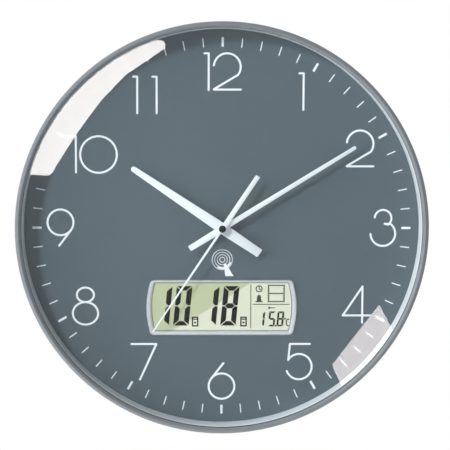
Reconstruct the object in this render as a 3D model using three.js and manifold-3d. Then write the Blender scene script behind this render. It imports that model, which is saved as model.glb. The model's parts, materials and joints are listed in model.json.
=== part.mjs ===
// Radio-controlled wall clock with an analogue dial and a calendar and temperature window.
// Millimetres. +Z is up (12 o'clock), the dial faces -Y, and the wall is the plane y = 0.
// The origin is on the axis of the hands, on the flat back of the clock.
// Depths are distances in front of the wall, so a depth d lies at y = -d.
import * as THREE from 'three';
import { mergeVertices } from 'three/addons/utils/BufferGeometryUtils.js';
import Module from 'manifold-3d';

const wasm = await Module();
wasm.setup();

// ---------------------------------------------------------------- driving dimensions

const gap = 0.3;                 // clearance between neighbouring pieces
const rootSink = 0.5;            // how far a post or boss sinks into the wall it stands on
const ringSides = 60;            // facets of the large rings
const smallSides = 12;           // facets of small round pieces

// Case
const clockRadius = 177.5;       // outside of the front bezel
const handRoom = 19.1;           // dial face to the back of the glass
const sideWall = 2.9;            // case side with the bezel skirt over it
const skirtWall = 1.3;           // bezel skirt
const skirtLength = 13;          // how far the skirt reaches back over the case
const lipWidth = 5.3;            // outside of the bezel to its sight edge
const lipRound = 2.6;            // drop of the lip towards its outer edge
const bodySetback = 0.8;         // wall to the rear edge of the case side
const bodyDraft = 0.6;           // the case side narrows this much towards the wall
const ledgeWidth = 2.4;          // ledge inside the case that carries the dial
const ledgeDepth = 1.4;
const glassThickness = 2;
const glassSetback = 2.9;        // bezel front to glass front
const gasketThickness = 0.8;
const gasketWidth = 2.2;
const spacerWall = 2.65;         // silver ring between dial and glass, at the dial
const spacerDraft = 0.45;        // its bore opens this much towards the glass

// Dial
const dialThickness = 1.5;

// Back cover
const coverThickness = 4;
const channelDepth = 1.6;        // recess between the centre pad and the outer pad
const padRadius = 60;            // flat centre pad
const channelRadius = 158;       // outer edge of the recess
const channelSlope = 1.4;
const screwCount = 6;
const screwCircle = 168;
const screwHeadRadius = 3.1;
const screwHeadHeight = 1.7;
const screwShankRadius = 1.25;
const screwLength = 11;
const screwSetback = 0.4;        // wall to the screw head
const bossRadius = 4;
const bossWeb = 3;
const keyholeHeight = 112;       // centre of the entry hole above the hand axis
const keyholeEntry = 5;          // radius
const keyholeSlot = 2.6;         // radius of the slot
const keyholeRise = 10;          // entry centre to slot centre
const hangerThickness = 1.2;
const hangerWidth = 34;
const hangerHeight = 26;
const hangerScrewSpread = 24;
const hangerScrewRadius = 1.2;
const hangerDrop = 9;            // hanger screws below the keyhole entry
const hangerPostRadius = 3;
const hangerPostEnd = 10;        // wall to the end of the hanger posts
const hangerPostHole = 0.8;      // bottom of the screw hole in front of the cover
const ventCount = 5;
const ventPitch = 4;
const ventWidth = 1.6;
const ventLength = 12;
const ventX = 62;
const ventZ = -78;

// Calendar and temperature window
const lcdZ = -69.5;              // window centre below the hand axis
const lcdWidth = 125;            // visible glass
const lcdHeight = 42.5;
const lcdBulge = 3;              // the ends of the window bow out this much
const bezelSide = 3.6;
const bezelTop = 2.4;
const bezelBottom = 3.9;
const bezelProud = 1.5;          // bezel front above the dial face
const bezelSkirt = 1.6;          // wall of the sleeve that passes through the dial
const bezelReach = 2.6;          // sleeve length behind the dial face
const zebraSide = 3;             // strips end this far inside the window
const carrierSide = 1.5;         // carrier beyond the bezel sleeve at the sides
const lcdGlass = 2.6;
const lcdReflector = 0.6;
const zebraWidth = 2;
const boardThickness = 1.6;
const boardDepth = 13;           // wall to the front of the calendar board
const carrierWall = 3.5;

// Push buttons on the back
const buttonXs = [-36, -12, 12, 36];
const buttonZ = -76;
const buttonRadius = 3.2;
const buttonFlange = 4.4;
const buttonFlangeThickness = 1;
const buttonTop = 0.5;           // wall to the button top
const buttonTravel = 1;
const switchSize = 6;
const switchHeight = 3.2;
const plungerRadius = 1.6;
const plungerSink = 1.5;
const chipHalf = 7;              // display driver on the calendar board
const chipLow = 2;               // above the window centre
const chipHigh = 14;
const chipHeight = 1.4;
const sensorRadius = 1.6;        // temperature sensor behind the vent slots
const sensorLength = 3;
const sensorLead = 1.5;

// Battery bay
const cellRadius = 7.1;          // AA cell
const cellLength = 50.5;
const cellNubRadius = 2.75;
const cellNubLength = 1.5;
const cellApart = 1.2;           // between the two cells
const bayZ = -125;
const trayWall = 1.2;
const trayFloor = 1.1;           // under the cells, next to the dial
const contactThickness = 0.5;
const contactHalf = 5;           // half width of the contact plate, and its reach past each cell axis
const springLength = 5;
const springWire = 0.45;
const springRadius = 3.2;
const springTurns = 2.5;
const doorThickness = 1.8;
const doorMargin = 1.5;          // door edge beyond the tray
const hingeRadius = 1.8;
const hingePinRadius = 0.7;
const hingeDepth = 2.8;          // wall to the hinge axis
const hingeDrop = 3.4;           // hinge axis below the tray
const hingeInset = 4;            // door corner to the end of the hinge barrel
const hingePinOverhang = 2;      // pin end beyond the door
const hingePostWall = 1.6;       // post beyond the pin end
const hingePostHalf = 2.6;       // half height of the posts
const hingePostEnd = 5.6;        // wall to the end of the posts
const scoopHalf = 8;             // finger groove near the free edge of the door
const scoopWidth = 3;
const scoopInset = 2;
const scoopDepth = 0.7;

// Movement
const moveWidth = 63;
const moveTop = 23;
const moveBottom = -29;
const moveWall = 1.4;
const arborRadius = 0.6;
const pivotDepth = 0.8;          // depth of the blind pivot holes
const bushRadius = 3.95;
const bushRise = 3.6;            // end of the threaded bush above the dial face
const nutAcross = 12;
const nutThickness = 2.2;
const washerRadius = 9;
const washerThickness = 0.6;
const secondArbor = 0.5;         // radii of the nested hand arbors
const minuteTube = 1.6;
const hourTube = 2.6;

// Gears: [teeth of the driving pinion, teeth of the wheel, module]
const motorStage = { pinion: 8, wheel: 48, module: 0.35 };
const centreStage = { pinion: 8, wheel: 40, module: 0.5 };
const cannonStage = { pinion: 10, wheel: 30, module: 0.45 };
const hourStage = { pinion: 8, wheel: 32, module: 0.45 };
const gearThickness = 0.95;
const rotorAngle = 35;           // degrees the motors sit below their idlers
const magnetRadius = 3;
const magnetLength = 3;
const statorThickness = 1;
const coilRadius = 3.2;
const coilLength = 7.6;
const coreHeight = 3.2;

// Radio receiver
const ferriteRadius = 4;
const ferriteLength = 60;
const antennaCoilRadius = 6.4;
const antennaCoilLength = 28;
const ferriteZ = 62;
const ferriteDepth = 12;
const cradleX = 24;
const cradleWall = 2.4;

// Hands: height of the front above the dial, widths at the hub and the ends, lengths from the axis,
// clockwise angle from 12
const handThickness = 0.5;
const handCollar = 1.4;          // height of the pressed collar under each hand
const hour = { lift: 5.6, angle: 303.8, length: 94.3, tail: 39.4, root: 9.4, tip: 4.8,
  tailRoot: 9.4, tailTip: 7.6, bore: hourTube };
const minute = { lift: 8.6, angle: 58.4, length: 135.2, tail: 33.2, root: 4.7, tip: 3.1,
  tailRoot: 6, tailTip: 4.9, bore: minuteTube };
const second = { lift: 11.2, angle: 213.8, length: 108.4, tail: 55, root: 2.1, tip: 1.2,
  tailRoot: 4.3, tailTip: 4.1, bore: secondArbor };
const secondHub = 3.9;
const hubCapRadius = 3.1;
const hubCapHeight = 1;

// ---------------------------------------------------------------- worked-out places

const cellPitch = 2 * cellRadius + cellApart;

// The cells set how deep the dial lies, and the dial sets the depth of the hands and the glass.
const dialDepth = coverThickness + gap + 2 * (cellRadius + gap) + trayFloor + gap + dialThickness;
const clockDepth = dialDepth + handRoom + glassThickness + glassSetback;
const bushTop = dialDepth + bushRise;
for (const hand of [hour, minute, second]) {
  hand.depth = dialDepth + hand.lift;
}

const caseInner = clockRadius - sideWall;
const fitRadius = caseInner - gap;
const sightRadius = clockRadius - lipWidth;
const glassFront = clockDepth - glassSetback;
const glassBack = glassFront - glassThickness;
const gasketFront = glassBack - gap;
const gasketBack = gasketFront - gasketThickness;
const spacerFront = gasketBack - gap;
const bodyFront = gasketBack - 2 * gap;
const skirtBack = bodyFront + gap - skirtLength;
const dialBack = dialDepth - dialThickness;
const innerFront = dialBack - gap;
const coverClear = coverThickness + gap;

const halfLcd = lcdWidth / 2;
const lcdGlassFront = dialDepth + bezelProud - 1.2;
const lcdGlassBack = lcdGlassFront - lcdGlass;
const reflectorBack = lcdGlassBack - gap - lcdReflector;
const boardBack = boardDepth - boardThickness;
const carrierBack = boardDepth + gap;
const switchBack = boardBack - switchHeight;

const trayHalfHeight = cellPitch / 2 + cellRadius + gap + trayWall;
const trayInnerHalf = (cellLength + springLength + 2 * contactThickness) / 2 + gap;
const trayHalf = trayInnerHalf + trayWall;
const doorHalf = trayHalf + doorMargin;
const doorTop = bayZ + trayHalfHeight + doorMargin;
const hingeZ = bayZ - trayHalfHeight - hingeDrop;
const hingeClear = hingeRadius + 2 * gap;
const cellDepth = coverClear + cellRadius + gap;

const moveBack = coverThickness + 2 * gap;
const insideBack = moveBack + moveWall;
const insideFront = innerFront - moveWall;
const shellSplit = (moveBack + innerFront) / 2;
const idlerDistance = (centreStage.pinion + centreStage.wheel) / 2 * centreStage.module;
const motorDistance = (motorStage.pinion + motorStage.wheel) / 2 * motorStage.module;
const hourDistance = (hourStage.pinion + hourStage.wheel) / 2 * hourStage.module;
const rotorTurn = THREE.MathUtils.degToRad(rotorAngle);
const rotorX = idlerDistance + motorDistance * Math.cos(rotorTurn);
const rotorZ = -motorDistance * Math.sin(rotorTurn);
const layerStep = gearThickness + 0.7;
const layer = (n) => insideBack + 0.4 + n * layerStep;
const boardTop = 21.2;
const boardBottom = 12.4;

// ---------------------------------------------------------------- materials

const finish = (color, roughness, metalness) =>
  new THREE.MeshStandardMaterial({ color, roughness, metalness });
const mat = {
  silver: finish(0x9aa1a8, 0.35, 0.6),
  brightSilver: finish(0xccd3d9, 0.3, 0.6),
  glass: finish(0xe9eef0, 0.05, 0),
  rubber: finish(0x2a2b2d, 0.8, 0),
  dial: finish(0x656e77, 0.6, 0),
  darkPlastic: finish(0x35383b, 0.55, 0),
  blackPlastic: finish(0x151617, 0.4, 0),
  lcd: finish(0xd3dcba, 0.3, 0),
  reflector: finish(0xc7cdb6, 0.6, 0),
  white: finish(0xeef4f8, 0.45, 0),
  acetal: finish(0xe6e2d6, 0.5, 0),
  steel: finish(0xb9bcc0, 0.35, 1),
  nickel: finish(0xc6c8c6, 0.3, 1),
  copper: finish(0xa45a32, 0.4, 0.9),
  board: finish(0x24553a, 0.5, 0),
  ferrite: finish(0x3c3d40, 0.7, 0.1),
  cell: finish(0x4f565c, 0.35, 0.5),
};

// ---------------------------------------------------------------- geometry helpers

// Only positions, shared vertices merged, no empty triangles, faces pointing out.
function weld(source) {
  const bare = source.clone();
  bare.deleteAttribute('normal');
  bare.deleteAttribute('uv');
  const merged = mergeVertices(bare, 1e-4);
  const index = merged.index.array;
  const p = merged.attributes.position;
  const kept = [];
  let volume = 0;
  for (let i = 0; i < index.length; i += 3) {
    const [a, b, c] = [index[i], index[i + 1], index[i + 2]];
    if (a === b || b === c || c === a) continue;
    kept.push(a, b, c);
    const [va, vb, vc] = [a, b, c].map((n) => new THREE.Vector3().fromBufferAttribute(p, n));
    volume += va.dot(vb.cross(vc));
  }
  if (volume < 0) kept.reverse();
  merged.setIndex(kept);
  return merged;
}

function toSolid(geometry) {
  const g = weld(geometry);
  const vertProperties = new Float32Array(g.attributes.position.array);
  const triVerts = new Uint32Array(g.index.array);
  return new wasm.Manifold(new wasm.Mesh({ numProp: 3, vertProperties, triVerts }));
}

function toGeometry(solid) {
  const { vertProperties, triVerts, numProp } = solid.getMesh();
  const positions = [];
  for (let i = 0; i < vertProperties.length; i += numProp) {
    positions.push(vertProperties[i], vertProperties[i + 1], vertProperties[i + 2]);
  }
  const g = new THREE.BufferGeometry();
  g.setAttribute('position', new THREE.Float32BufferAttribute(positions, 3));
  g.setIndex([...triVerts]);
  return g;
}

const join = (first, ...others) =>
  toGeometry(others.reduce((sum, g) => sum.add(toSolid(g)), toSolid(first)));
const cut = (first, ...others) =>
  toGeometry(others.reduce((rest, g) => rest.subtract(toSolid(g)), toSolid(first)));

// A solid of revolution about the hand axis from [radius, depth] pairs.
// A profile that doesn't touch the axis at both ends is closed on itself.
function turned(profile, sides = ringSides) {
  const points = profile.map(([radius, depth]) => new THREE.Vector2(radius, -depth));
  const onAxis = profile[0][0] === 0 && profile.at(-1)[0] === 0;
  if (!onAxis) points.push(points[0].clone());
  return weld(new THREE.LatheGeometry(points, sides));
}

const disc = (radius, back, front, sides = smallSides) =>
  turned([[0, back], [radius, back], [radius, front], [0, front]], sides);
const tube = (inner, outer, back, front, sides = smallSides) =>
  turned([[inner, back], [outer, back], [outer, front], [inner, front]], sides);

// A flat piece with the outline of a shape drawn in X and Z, between two depths.
function plate(shape, back, front, curveSegments = 8) {
  const g = new THREE.ExtrudeGeometry(shape, { depth: front - back, bevelEnabled: false, curveSegments });
  g.rotateX(Math.PI / 2);
  g.translate(0, -back, 0);
  return weld(g);
}

function block(x0, x1, z0, z1, back, front) {
  const g = new THREE.BoxGeometry(x1 - x0, front - back, z1 - z0);
  g.translate((x0 + x1) / 2, -(back + front) / 2, (z0 + z1) / 2);
  return g;
}

const moved = (geometry, x, z) => geometry.clone().translate(x, 0, z);

// Rectangle with rounded corners, centred on x = 0.
function roundedRect(halfWidth, bottom, top, radius) {
  const s = new THREE.Shape();
  s.moveTo(halfWidth - radius, bottom);
  s.absarc(halfWidth - radius, bottom + radius, radius, -Math.PI / 2, 0);
  s.absarc(halfWidth - radius, top - radius, radius, 0, Math.PI / 2);
  s.absarc(-halfWidth + radius, top - radius, radius, Math.PI / 2, Math.PI);
  s.absarc(-halfWidth + radius, bottom + radius, radius, Math.PI, 1.5 * Math.PI);
  s.closePath();
  return s;
}

// A shape through straight corners, with a round hole centred on x = 0.
function polygon(corners, holeRadius, holeZ = 0) {
  const points = corners.map(([x, z]) => new THREE.Vector2(x, z));
  if (THREE.ShapeUtils.isClockWise(points)) points.reverse();
  const s = new THREE.Shape(points);
  s.holes.push(new THREE.Path().absarc(0, holeZ, holeRadius, 0, 2 * Math.PI, true));
  return s;
}

// The window outline grown by given margins; its two ends bow outwards.
function windowShape(side, top, bottom) {
  const x = halfLcd - lcdBulge + side;
  const z0 = lcdZ - lcdHeight / 2 - bottom;
  const z1 = lcdZ + lcdHeight / 2 + top;
  const middle = (z0 + z1) / 2;
  const bow = x + 2 * lcdBulge;
  const s = new THREE.Shape();
  s.moveTo(-x, z0);
  s.lineTo(x, z0);
  s.quadraticCurveTo(bow, middle, x, z1);
  s.lineTo(-x, z1);
  s.quadraticCurveTo(-bow, middle, -x, z0);
  return s;
}

// Gear outline about the origin, with a tooth centred on the direction phase (radians
// from +X towards +Z). Teeth are narrow for their pitch, which leaves backlash: a pinion
// has flat roots, and a wheel has V-shaped ones.
function gearShape(teeth, module, phase, bore) {
  const pitch = 2 * Math.PI / teeth;
  const pitchRadius = teeth * module / 2;
  const isPinion = teeth <= 12;
  const tipRadius = pitchRadius + 0.78 * module;
  const rootRadius = pitchRadius - (isPinion ? 1.15 : 1.6) * module;
  const rootHalf = 0.19 * pitch;
  const tipHalf = 0.1 * pitch;
  const s = new THREE.Shape();
  for (let i = 0; i < teeth; i++) {
    const middle = phase + i * pitch;
    const tip = [[tipRadius, -tipHalf], [tipRadius, tipHalf]];
    const corners = isPinion ? [[rootRadius, -rootHalf], ...tip, [rootRadius, rootHalf]]
      : [...tip, [rootRadius, pitch / 2]];
    corners.forEach(([r, a], n) => {
      const x = r * Math.cos(middle + a);
      const z = r * Math.sin(middle + a);
      if (i === 0 && n === 0) s.moveTo(x, z);
      else s.lineTo(x, z);
    });
  }
  s.closePath();
  if (bore) s.holes.push(new THREE.Path().absarc(0, 0, bore, 0, 2 * Math.PI, true));
  return s;
}

const wheel = (teeth, module, phase, back, bore = 0) =>
  plate(gearShape(teeth, module, phase, bore), back, back + gearThickness);
const halfTooth = (teeth) => Math.PI / teeth;

const clock = new THREE.Group();

function add(name, geometry, material, parent = clock) {
  const mesh = new THREE.Mesh(geometry, material);
  mesh.name = name;
  parent.add(mesh);
  return mesh;
}

function addAt(name, geometry, material, x, z) {
  const mesh = add(name, geometry, material);
  mesh.position.set(x, 0, z);
  return mesh;
}

const around = (count, radius, start = 0) => Array.from({ length: count }, (_, i) => {
  const a = start + i * 2 * Math.PI / count;
  return [radius * Math.sin(a), radius * Math.cos(a), a];
});
const screwPlaces = around(screwCount, screwCircle, Math.PI / screwCount);

// ---------------------------------------------------------------- case, bezel and glass

function caseBody() {
  const frontOuter = clockRadius - skirtWall - gap;
  const wall = turned([
    [caseInner, bodySetback], [clockRadius - 0.5 - bodyDraft, bodySetback],
    [clockRadius - 0.5, skirtBack - gap], [frontOuter, skirtBack - gap],
    [frontOuter, bodyFront], [caseInner, bodyFront],
    [caseInner, innerFront], [caseInner - ledgeWidth, innerFront],
    [caseInner - ledgeWidth, innerFront - ledgeDepth], [caseInner, innerFront - ledgeDepth - ledgeWidth],
  ]);
  const bosses = screwPlaces.map(([x, z]) => moved(disc(bossRadius, coverClear, innerFront), x, z));
  const webs = screwPlaces.map(([, , a]) => {
    const web = block(-bossWeb / 2, bossWeb / 2, screwCircle, caseInner + 0.5, coverClear, innerFront);
    return web.rotateY(a);
  });
  const bores = screwPlaces.map(([x, z]) =>
    moved(disc(screwShankRadius + gap, coverClear - 1,
      screwSetback + screwHeadHeight + screwLength + gap), x, z));
  return cut(join(wall, ...bosses, ...webs), ...bores);
}
add('case_body', caseBody(), mat.silver);

add('front_bezel', turned([
  [clockRadius, skirtBack], [clockRadius, clockDepth - lipRound],
  [clockRadius - 0.3 * lipWidth, clockDepth - 0.25 * lipRound],
  [clockRadius - 0.6 * lipWidth, clockDepth], [sightRadius + 0.4, clockDepth - 0.1],
  [sightRadius, clockDepth - 0.5], [sightRadius, glassFront + gap],
  [caseInner, glassFront + gap], [caseInner, bodyFront + gap],
  [clockRadius - skirtWall, bodyFront + gap], [clockRadius - skirtWall, skirtBack],
]), mat.silver);

add('front_glass', disc(fitRadius, glassBack, glassFront, ringSides), mat.glass);
add('glass_gasket', tube(fitRadius - gasketWidth, fitRadius, gasketBack, gasketFront, ringSides), mat.rubber);
add('spacer_ring', turned([
  [fitRadius - spacerWall, dialDepth + gap], [fitRadius, dialDepth + gap],
  [fitRadius, spacerFront], [fitRadius - spacerWall + spacerDraft, spacerFront],
]), mat.brightSilver);

function dialPlate() {
  const window = plate(windowShape(bezelSkirt + 0.4 + gap, bezelSkirt + gap, bezelSkirt + gap),
    dialBack - 1, dialDepth + 1);
  const centre = disc(bushRadius + gap, dialBack - 1, dialDepth + 1);
  return cut(disc(fitRadius, dialBack, dialDepth, ringSides), window, centre);
}
add('dial_plate', dialPlate(), mat.dial);

// ---------------------------------------------------------------- back cover and hanger

function keyholeShape(entry, slot) {
  const s = new THREE.Shape();
  const half = Math.asin(slot / entry);
  s.absarc(0, keyholeHeight, entry, Math.PI / 2 + half, Math.PI / 2 - half + 2 * Math.PI, false);
  s.absarc(0, keyholeHeight + keyholeRise, slot, 0, Math.PI, false);
  s.closePath();
  return s;
}

const hingeHalf = doorHalf - hingeInset;   // half length of the door's hinge barrel
const hingePinReach = doorHalf + hingePinOverhang;

function backCover() {
  const body = turned([
    [0, 0], [padRadius, 0], [padRadius + channelSlope, channelDepth],
    [channelRadius - channelSlope, channelDepth], [channelRadius, 0],
    [fitRadius - 0.4, 0], [fitRadius, 0.4], [fitRadius, coverThickness], [0, coverThickness],
  ]);
  const cradles = [-cradleX, cradleX].map((x) => block(x - cradleWall / 2, x + cradleWall / 2,
    ferriteZ - ferriteRadius, ferriteZ + ferriteRadius, coverThickness - rootSink,
    ferriteDepth - ferriteRadius - gap));
  const pinEnds = [-1, 1].map((side) => block(...[doorHalf + gap, hingePinReach + hingePostWall]
    .map((x) => side * x).sort((a, b) => a - b), hingeZ - hingePostHalf, hingeZ + hingePostHalf,
    coverThickness - rootSink, hingePostEnd));
  const hangerPosts = [-1, 1].map((side) =>
    moved(disc(hangerPostRadius, coverThickness - rootSink, hangerPostEnd),
      side * hangerScrewSpread / 2, hangerPostZ));
  const through = [-1, coverThickness + 1];
  const bay = block(-doorHalf - gap, doorHalf + gap, hingeZ - hingeClear, doorTop + gap, ...through);
  const pinBore = new THREE.CylinderGeometry(hingePinRadius + gap, hingePinRadius + gap,
    2 * (hingePinReach + gap), 12);
  pinBore.rotateZ(Math.PI / 2);
  pinBore.translate(0, -hingeDepth, hingeZ);
  const cuts = [
    bay, pinBore,
    plate(keyholeShape(keyholeEntry, keyholeSlot), ...through),
    ...buttonXs.map((x) => moved(disc(buttonRadius + gap, ...through), x, buttonZ)),
    ...screwPlaces.map(([x, z]) => moved(disc(screwShankRadius + 2 * gap, ...through), x, z)),
    ...screwPlaces.map(([x, z]) =>
      moved(disc(screwHeadRadius + gap, -1, screwSetback + screwHeadHeight + gap), x, z)),
    ...Array.from({ length: ventCount }, (_, i) => {
      const x = ventX + (i - (ventCount - 1) / 2) * ventPitch;
      return block(x - ventWidth / 2, x + ventWidth / 2, ventZ - ventLength / 2, ventZ + ventLength / 2,
        ...through);
    }),
    ...[-1, 1].map((side) => moved(
      disc(hangerScrewRadius + gap, coverThickness + hangerPostHole, hangerPostEnd + 1),
      side * hangerScrewSpread / 2, hangerPostZ)),
  ];
  return cut(join(body, ...cradles, ...pinEnds, ...hangerPosts), ...cuts);
}

const hangerPostZ = keyholeHeight - hangerDrop;
const hangerBack = hangerPostEnd + gap;
add('back_cover', backCover(), mat.darkPlastic);

function hangerPlate() {
  const outline = roundedRect(hangerWidth / 2, hangerPostZ - 4, hangerPostZ - 4 + hangerHeight, 3);
  const steel = plate(outline, hangerBack, hangerBack + hangerThickness);
  const holes = [-1, 1].map((side) => moved(
    disc(hangerScrewRadius + gap, hangerBack - 1, hangerBack + hangerThickness + 1),
    side * hangerScrewSpread / 2, hangerPostZ));
  const key = plate(keyholeShape(keyholeEntry, keyholeSlot), hangerBack - 1, hangerBack + hangerThickness + 1);
  return cut(steel, key, ...holes);
}
add('hanger_plate', hangerPlate(), mat.steel);

// Pan-head screw along the hand axis: its head at headDepth, its shank towards tipDepth.
function screw(headRadius, shankRadius, headDepth, headHeight, tipDepth) {
  const way = Math.sign(tipDepth - headDepth);
  const under = headDepth + way * headHeight;
  return turned([
    [0, headDepth], [headRadius * 0.7, headDepth], [headRadius, headDepth + way * headHeight * 0.5],
    [headRadius, under], [shankRadius, under], [shankRadius, tipDepth - way * 0.8], [0, tipDepth],
  ], 12);
}

screwPlaces.forEach(([x, z], i) => addAt(`case_screw_${i + 1}`,
  screw(screwHeadRadius, screwShankRadius, screwSetback, screwHeadHeight,
    screwSetback + screwHeadHeight + screwLength), mat.steel, x, z));
[-1, 1].forEach((side, i) => addAt(`hanger_screw_${i + 1}`,
  screw(2.4, hangerScrewRadius, hangerBack + hangerThickness + gap + 1.4, 1.4, coverThickness + 1.4),
  mat.steel, side * hangerScrewSpread / 2, hangerPostZ));

// ---------------------------------------------------------------- calendar and temperature window

function framePlate(outer, inner, back, front) {
  outer.holes.push(inner);
  return plate(outer, back, front);
}

add('lcd_bezel', join(
  framePlate(windowShape(bezelSide, bezelTop, bezelBottom), windowShape(0, 0, 0),
    dialDepth + gap, dialDepth + bezelProud),
  framePlate(windowShape(bezelSkirt + 0.2, bezelSkirt, bezelSkirt), windowShape(0, 0, 0),
    dialDepth - bezelReach, dialDepth + 2 * gap),
), mat.brightSilver);
add('lcd_glass', plate(windowShape(-gap, -gap, -gap), lcdGlassBack, lcdGlassFront), mat.lcd);
add('lcd_reflector', plate(windowShape(-1, -1 - gap - zebraWidth, -1 - gap - zebraWidth),
  reflectorBack, reflectorBack + lcdReflector), mat.reflector);

const zebraHalf = halfLcd - lcdBulge - zebraSide;
const zebraInset = lcdHeight / 2 - gap - 0.2;
add('zebra_strip_top', block(-zebraHalf, zebraHalf, lcdZ + zebraInset - zebraWidth, lcdZ + zebraInset,
  boardDepth + gap, lcdGlassBack - gap), mat.rubber);
add('zebra_strip_bottom', block(-zebraHalf, zebraHalf, lcdZ - zebraInset, lcdZ - zebraInset + zebraWidth,
  boardDepth + gap, lcdGlassBack - gap), mat.rubber);

const carrierInner = [halfLcd + bezelSkirt + carrierSide, lcdZ - lcdHeight / 2 - bezelSkirt - gap,
  lcdZ + lcdHeight / 2 + bezelSkirt + gap];
const carrierOuter = [carrierInner[0] + carrierWall, carrierInner[1] - carrierWall,
  carrierInner[2] + carrierWall];
add('lcd_carrier', framePlate(roundedRect(...carrierOuter, 2), roundedRect(...carrierInner, 1),
  carrierBack, innerFront), mat.darkPlastic);

// Each switch has a plunger that its push button presses.
function calendarBoard() {
  const panel = plate(roundedRect(...carrierOuter, 2), boardBack, boardDepth);
  const switches = buttonXs.map((x) => block(x - switchSize / 2, x + switchSize / 2,
    buttonZ - switchSize / 2, buttonZ + switchSize / 2, switchBack + 1, boardBack + rootSink));
  const plungers = buttonXs.map((x) =>
    moved(disc(plungerRadius, switchBack, switchBack + plungerSink), x, buttonZ));
  const driverChip = block(-chipHalf, chipHalf, lcdZ + chipLow, lcdZ + chipHigh,
    boardBack - chipHeight, boardBack + rootSink);
  return join(panel, ...switches, ...plungers, driverChip);
}
add('calendar_board', calendarBoard(), mat.board);
addAt('temperature_sensor', join(
  disc(sensorRadius, boardBack - sensorLead - sensorLength, boardBack - sensorLead, 10),
  disc(0.5, boardBack - 2, boardBack - gap, 8)), mat.blackPlastic, ventX, ventZ);

function pushButton() {
  const flangeBack = coverClear;
  const flangeFront = flangeBack + buttonFlangeThickness;
  const stemEnd = switchBack - gap - buttonTravel;
  return turned([
    [0, buttonTop], [buttonRadius - 0.4, buttonTop], [buttonRadius, buttonTop + 0.4],
    [buttonRadius, flangeBack], [buttonFlange, flangeBack], [buttonFlange, flangeFront],
    [2, flangeFront], [2, stemEnd], [0, stemEnd],
  ], smallSides);
}
buttonXs.forEach((x, i) => addAt(`push_button_${i + 1}`, pushButton(), mat.blackPlastic, x, buttonZ));

// ---------------------------------------------------------------- battery bay

function batteryTray() {
  const z0 = bayZ - trayHalfHeight;
  const z1 = bayZ + trayHalfHeight;
  const outer = block(-trayHalf, trayHalf, z0, z1, coverClear, innerFront);
  const inner = block(-trayInnerHalf, trayInnerHalf, z0 + trayWall, z1 - trayWall,
    coverClear - 1, cellDepth + cellRadius + gap);
  return cut(outer, inner);
}
add('battery_tray', batteryTray(), mat.darkPlastic);

// A cell lies along X and pushes its nub against one contact, and a spring presses its base.
function batteryCell() {
  const g = new THREE.LatheGeometry([
    [0, 0], [cellRadius, 0], [cellRadius, cellLength - cellNubLength],
    [cellNubRadius, cellLength - cellNubLength], [cellNubRadius, cellLength], [0, cellLength],
  ].map(([r, y]) => new THREE.Vector2(r, y)), 20);
  return weld(g.translate(0, -cellLength / 2, 0));
}

const cellShift = trayInnerHalf - gap - contactThickness - gap - cellLength / 2;
[1, -1].forEach((side, i) => {
  const cell = addAt(`battery_${i + 1}`, batteryCell(), mat.cell,
    side * cellShift, bayZ + side * cellPitch / 2);
  cell.position.y = -cellDepth;
  cell.rotation.z = -side * Math.PI / 2;
});

// One pressed plate with a spring: the spring meets the base of one cell, the flat part the nub of the other.
function contact() {
  const flat = block(0, contactThickness, -cellPitch / 2 - contactHalf, cellPitch / 2 + contactHalf,
    cellDepth - contactHalf, cellDepth + contactHalf);
  const points = Array.from({ length: 25 }, (_, i) => {
    const t = i / 24;
    const a = t * springTurns * 2 * Math.PI;
    const r = springRadius * (1 - 0.35 * t);
    return new THREE.Vector3(0.3 + t * (springLength - gap - 0.3), -cellDepth + r * Math.cos(a),
      cellPitch / 2 + r * Math.sin(a));
  });
  const section = new THREE.Shape();
  section.absarc(0, 0, springWire, 0, 2 * Math.PI);
  const coil = new THREE.ExtrudeGeometry(section, {
    extrudePath: new THREE.CatmullRomCurve3(points), steps: 30, curveSegments: 3, bevelEnabled: false,
  });
  return join(flat, coil);
}

const contactPlace = new THREE.Vector3(-trayInnerHalf + gap, 0, bayZ);
const contactLeft = add('contact_left', contact(), mat.nickel);
contactLeft.position.copy(contactPlace);
contactLeft.position.z = bayZ;
const contactRight = add('contact_right', contact(), mat.nickel);
contactRight.rotation.y = Math.PI;
contactRight.position.set(-contactPlace.x, 0, bayZ);

function batteryDoor() {
  const doorBack = channelDepth;
  const doorFront = doorBack + doorThickness;
  const panel = block(-doorHalf, doorHalf, hingeZ + hingeRadius - 0.2, doorTop, doorBack, doorFront);
  const barrel = new THREE.CylinderGeometry(hingeRadius, hingeRadius, 2 * hingeHalf, 16);
  barrel.rotateZ(Math.PI / 2);
  barrel.translate(0, -hingeDepth, hingeZ);
  const leaf = block(-hingeHalf, hingeHalf, hingeZ, hingeZ + hingeRadius + 1, hingeDepth - 0.8, doorFront);
  const bore = new THREE.CylinderGeometry(hingePinRadius + gap, hingePinRadius + gap, 2 * doorHalf + 2, 12);
  bore.rotateZ(Math.PI / 2);
  bore.translate(0, -hingeDepth, hingeZ);
  const scoop = block(-scoopHalf, scoopHalf, doorTop - scoopInset - scoopWidth, doorTop - scoopInset,
    doorBack - 1, doorBack + scoopDepth);
  return cut(join(panel, leaf, barrel), bore, scoop);
}
add('battery_door', batteryDoor(), mat.darkPlastic);

const pin = new THREE.CylinderGeometry(hingePinRadius, hingePinRadius, 2 * hingePinReach, 12);
pin.rotateZ(Math.PI / 2);
pin.translate(0, -hingeDepth, hingeZ);
add('door_hinge_pin', pin, mat.steel);

// ---------------------------------------------------------------- movement

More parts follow.
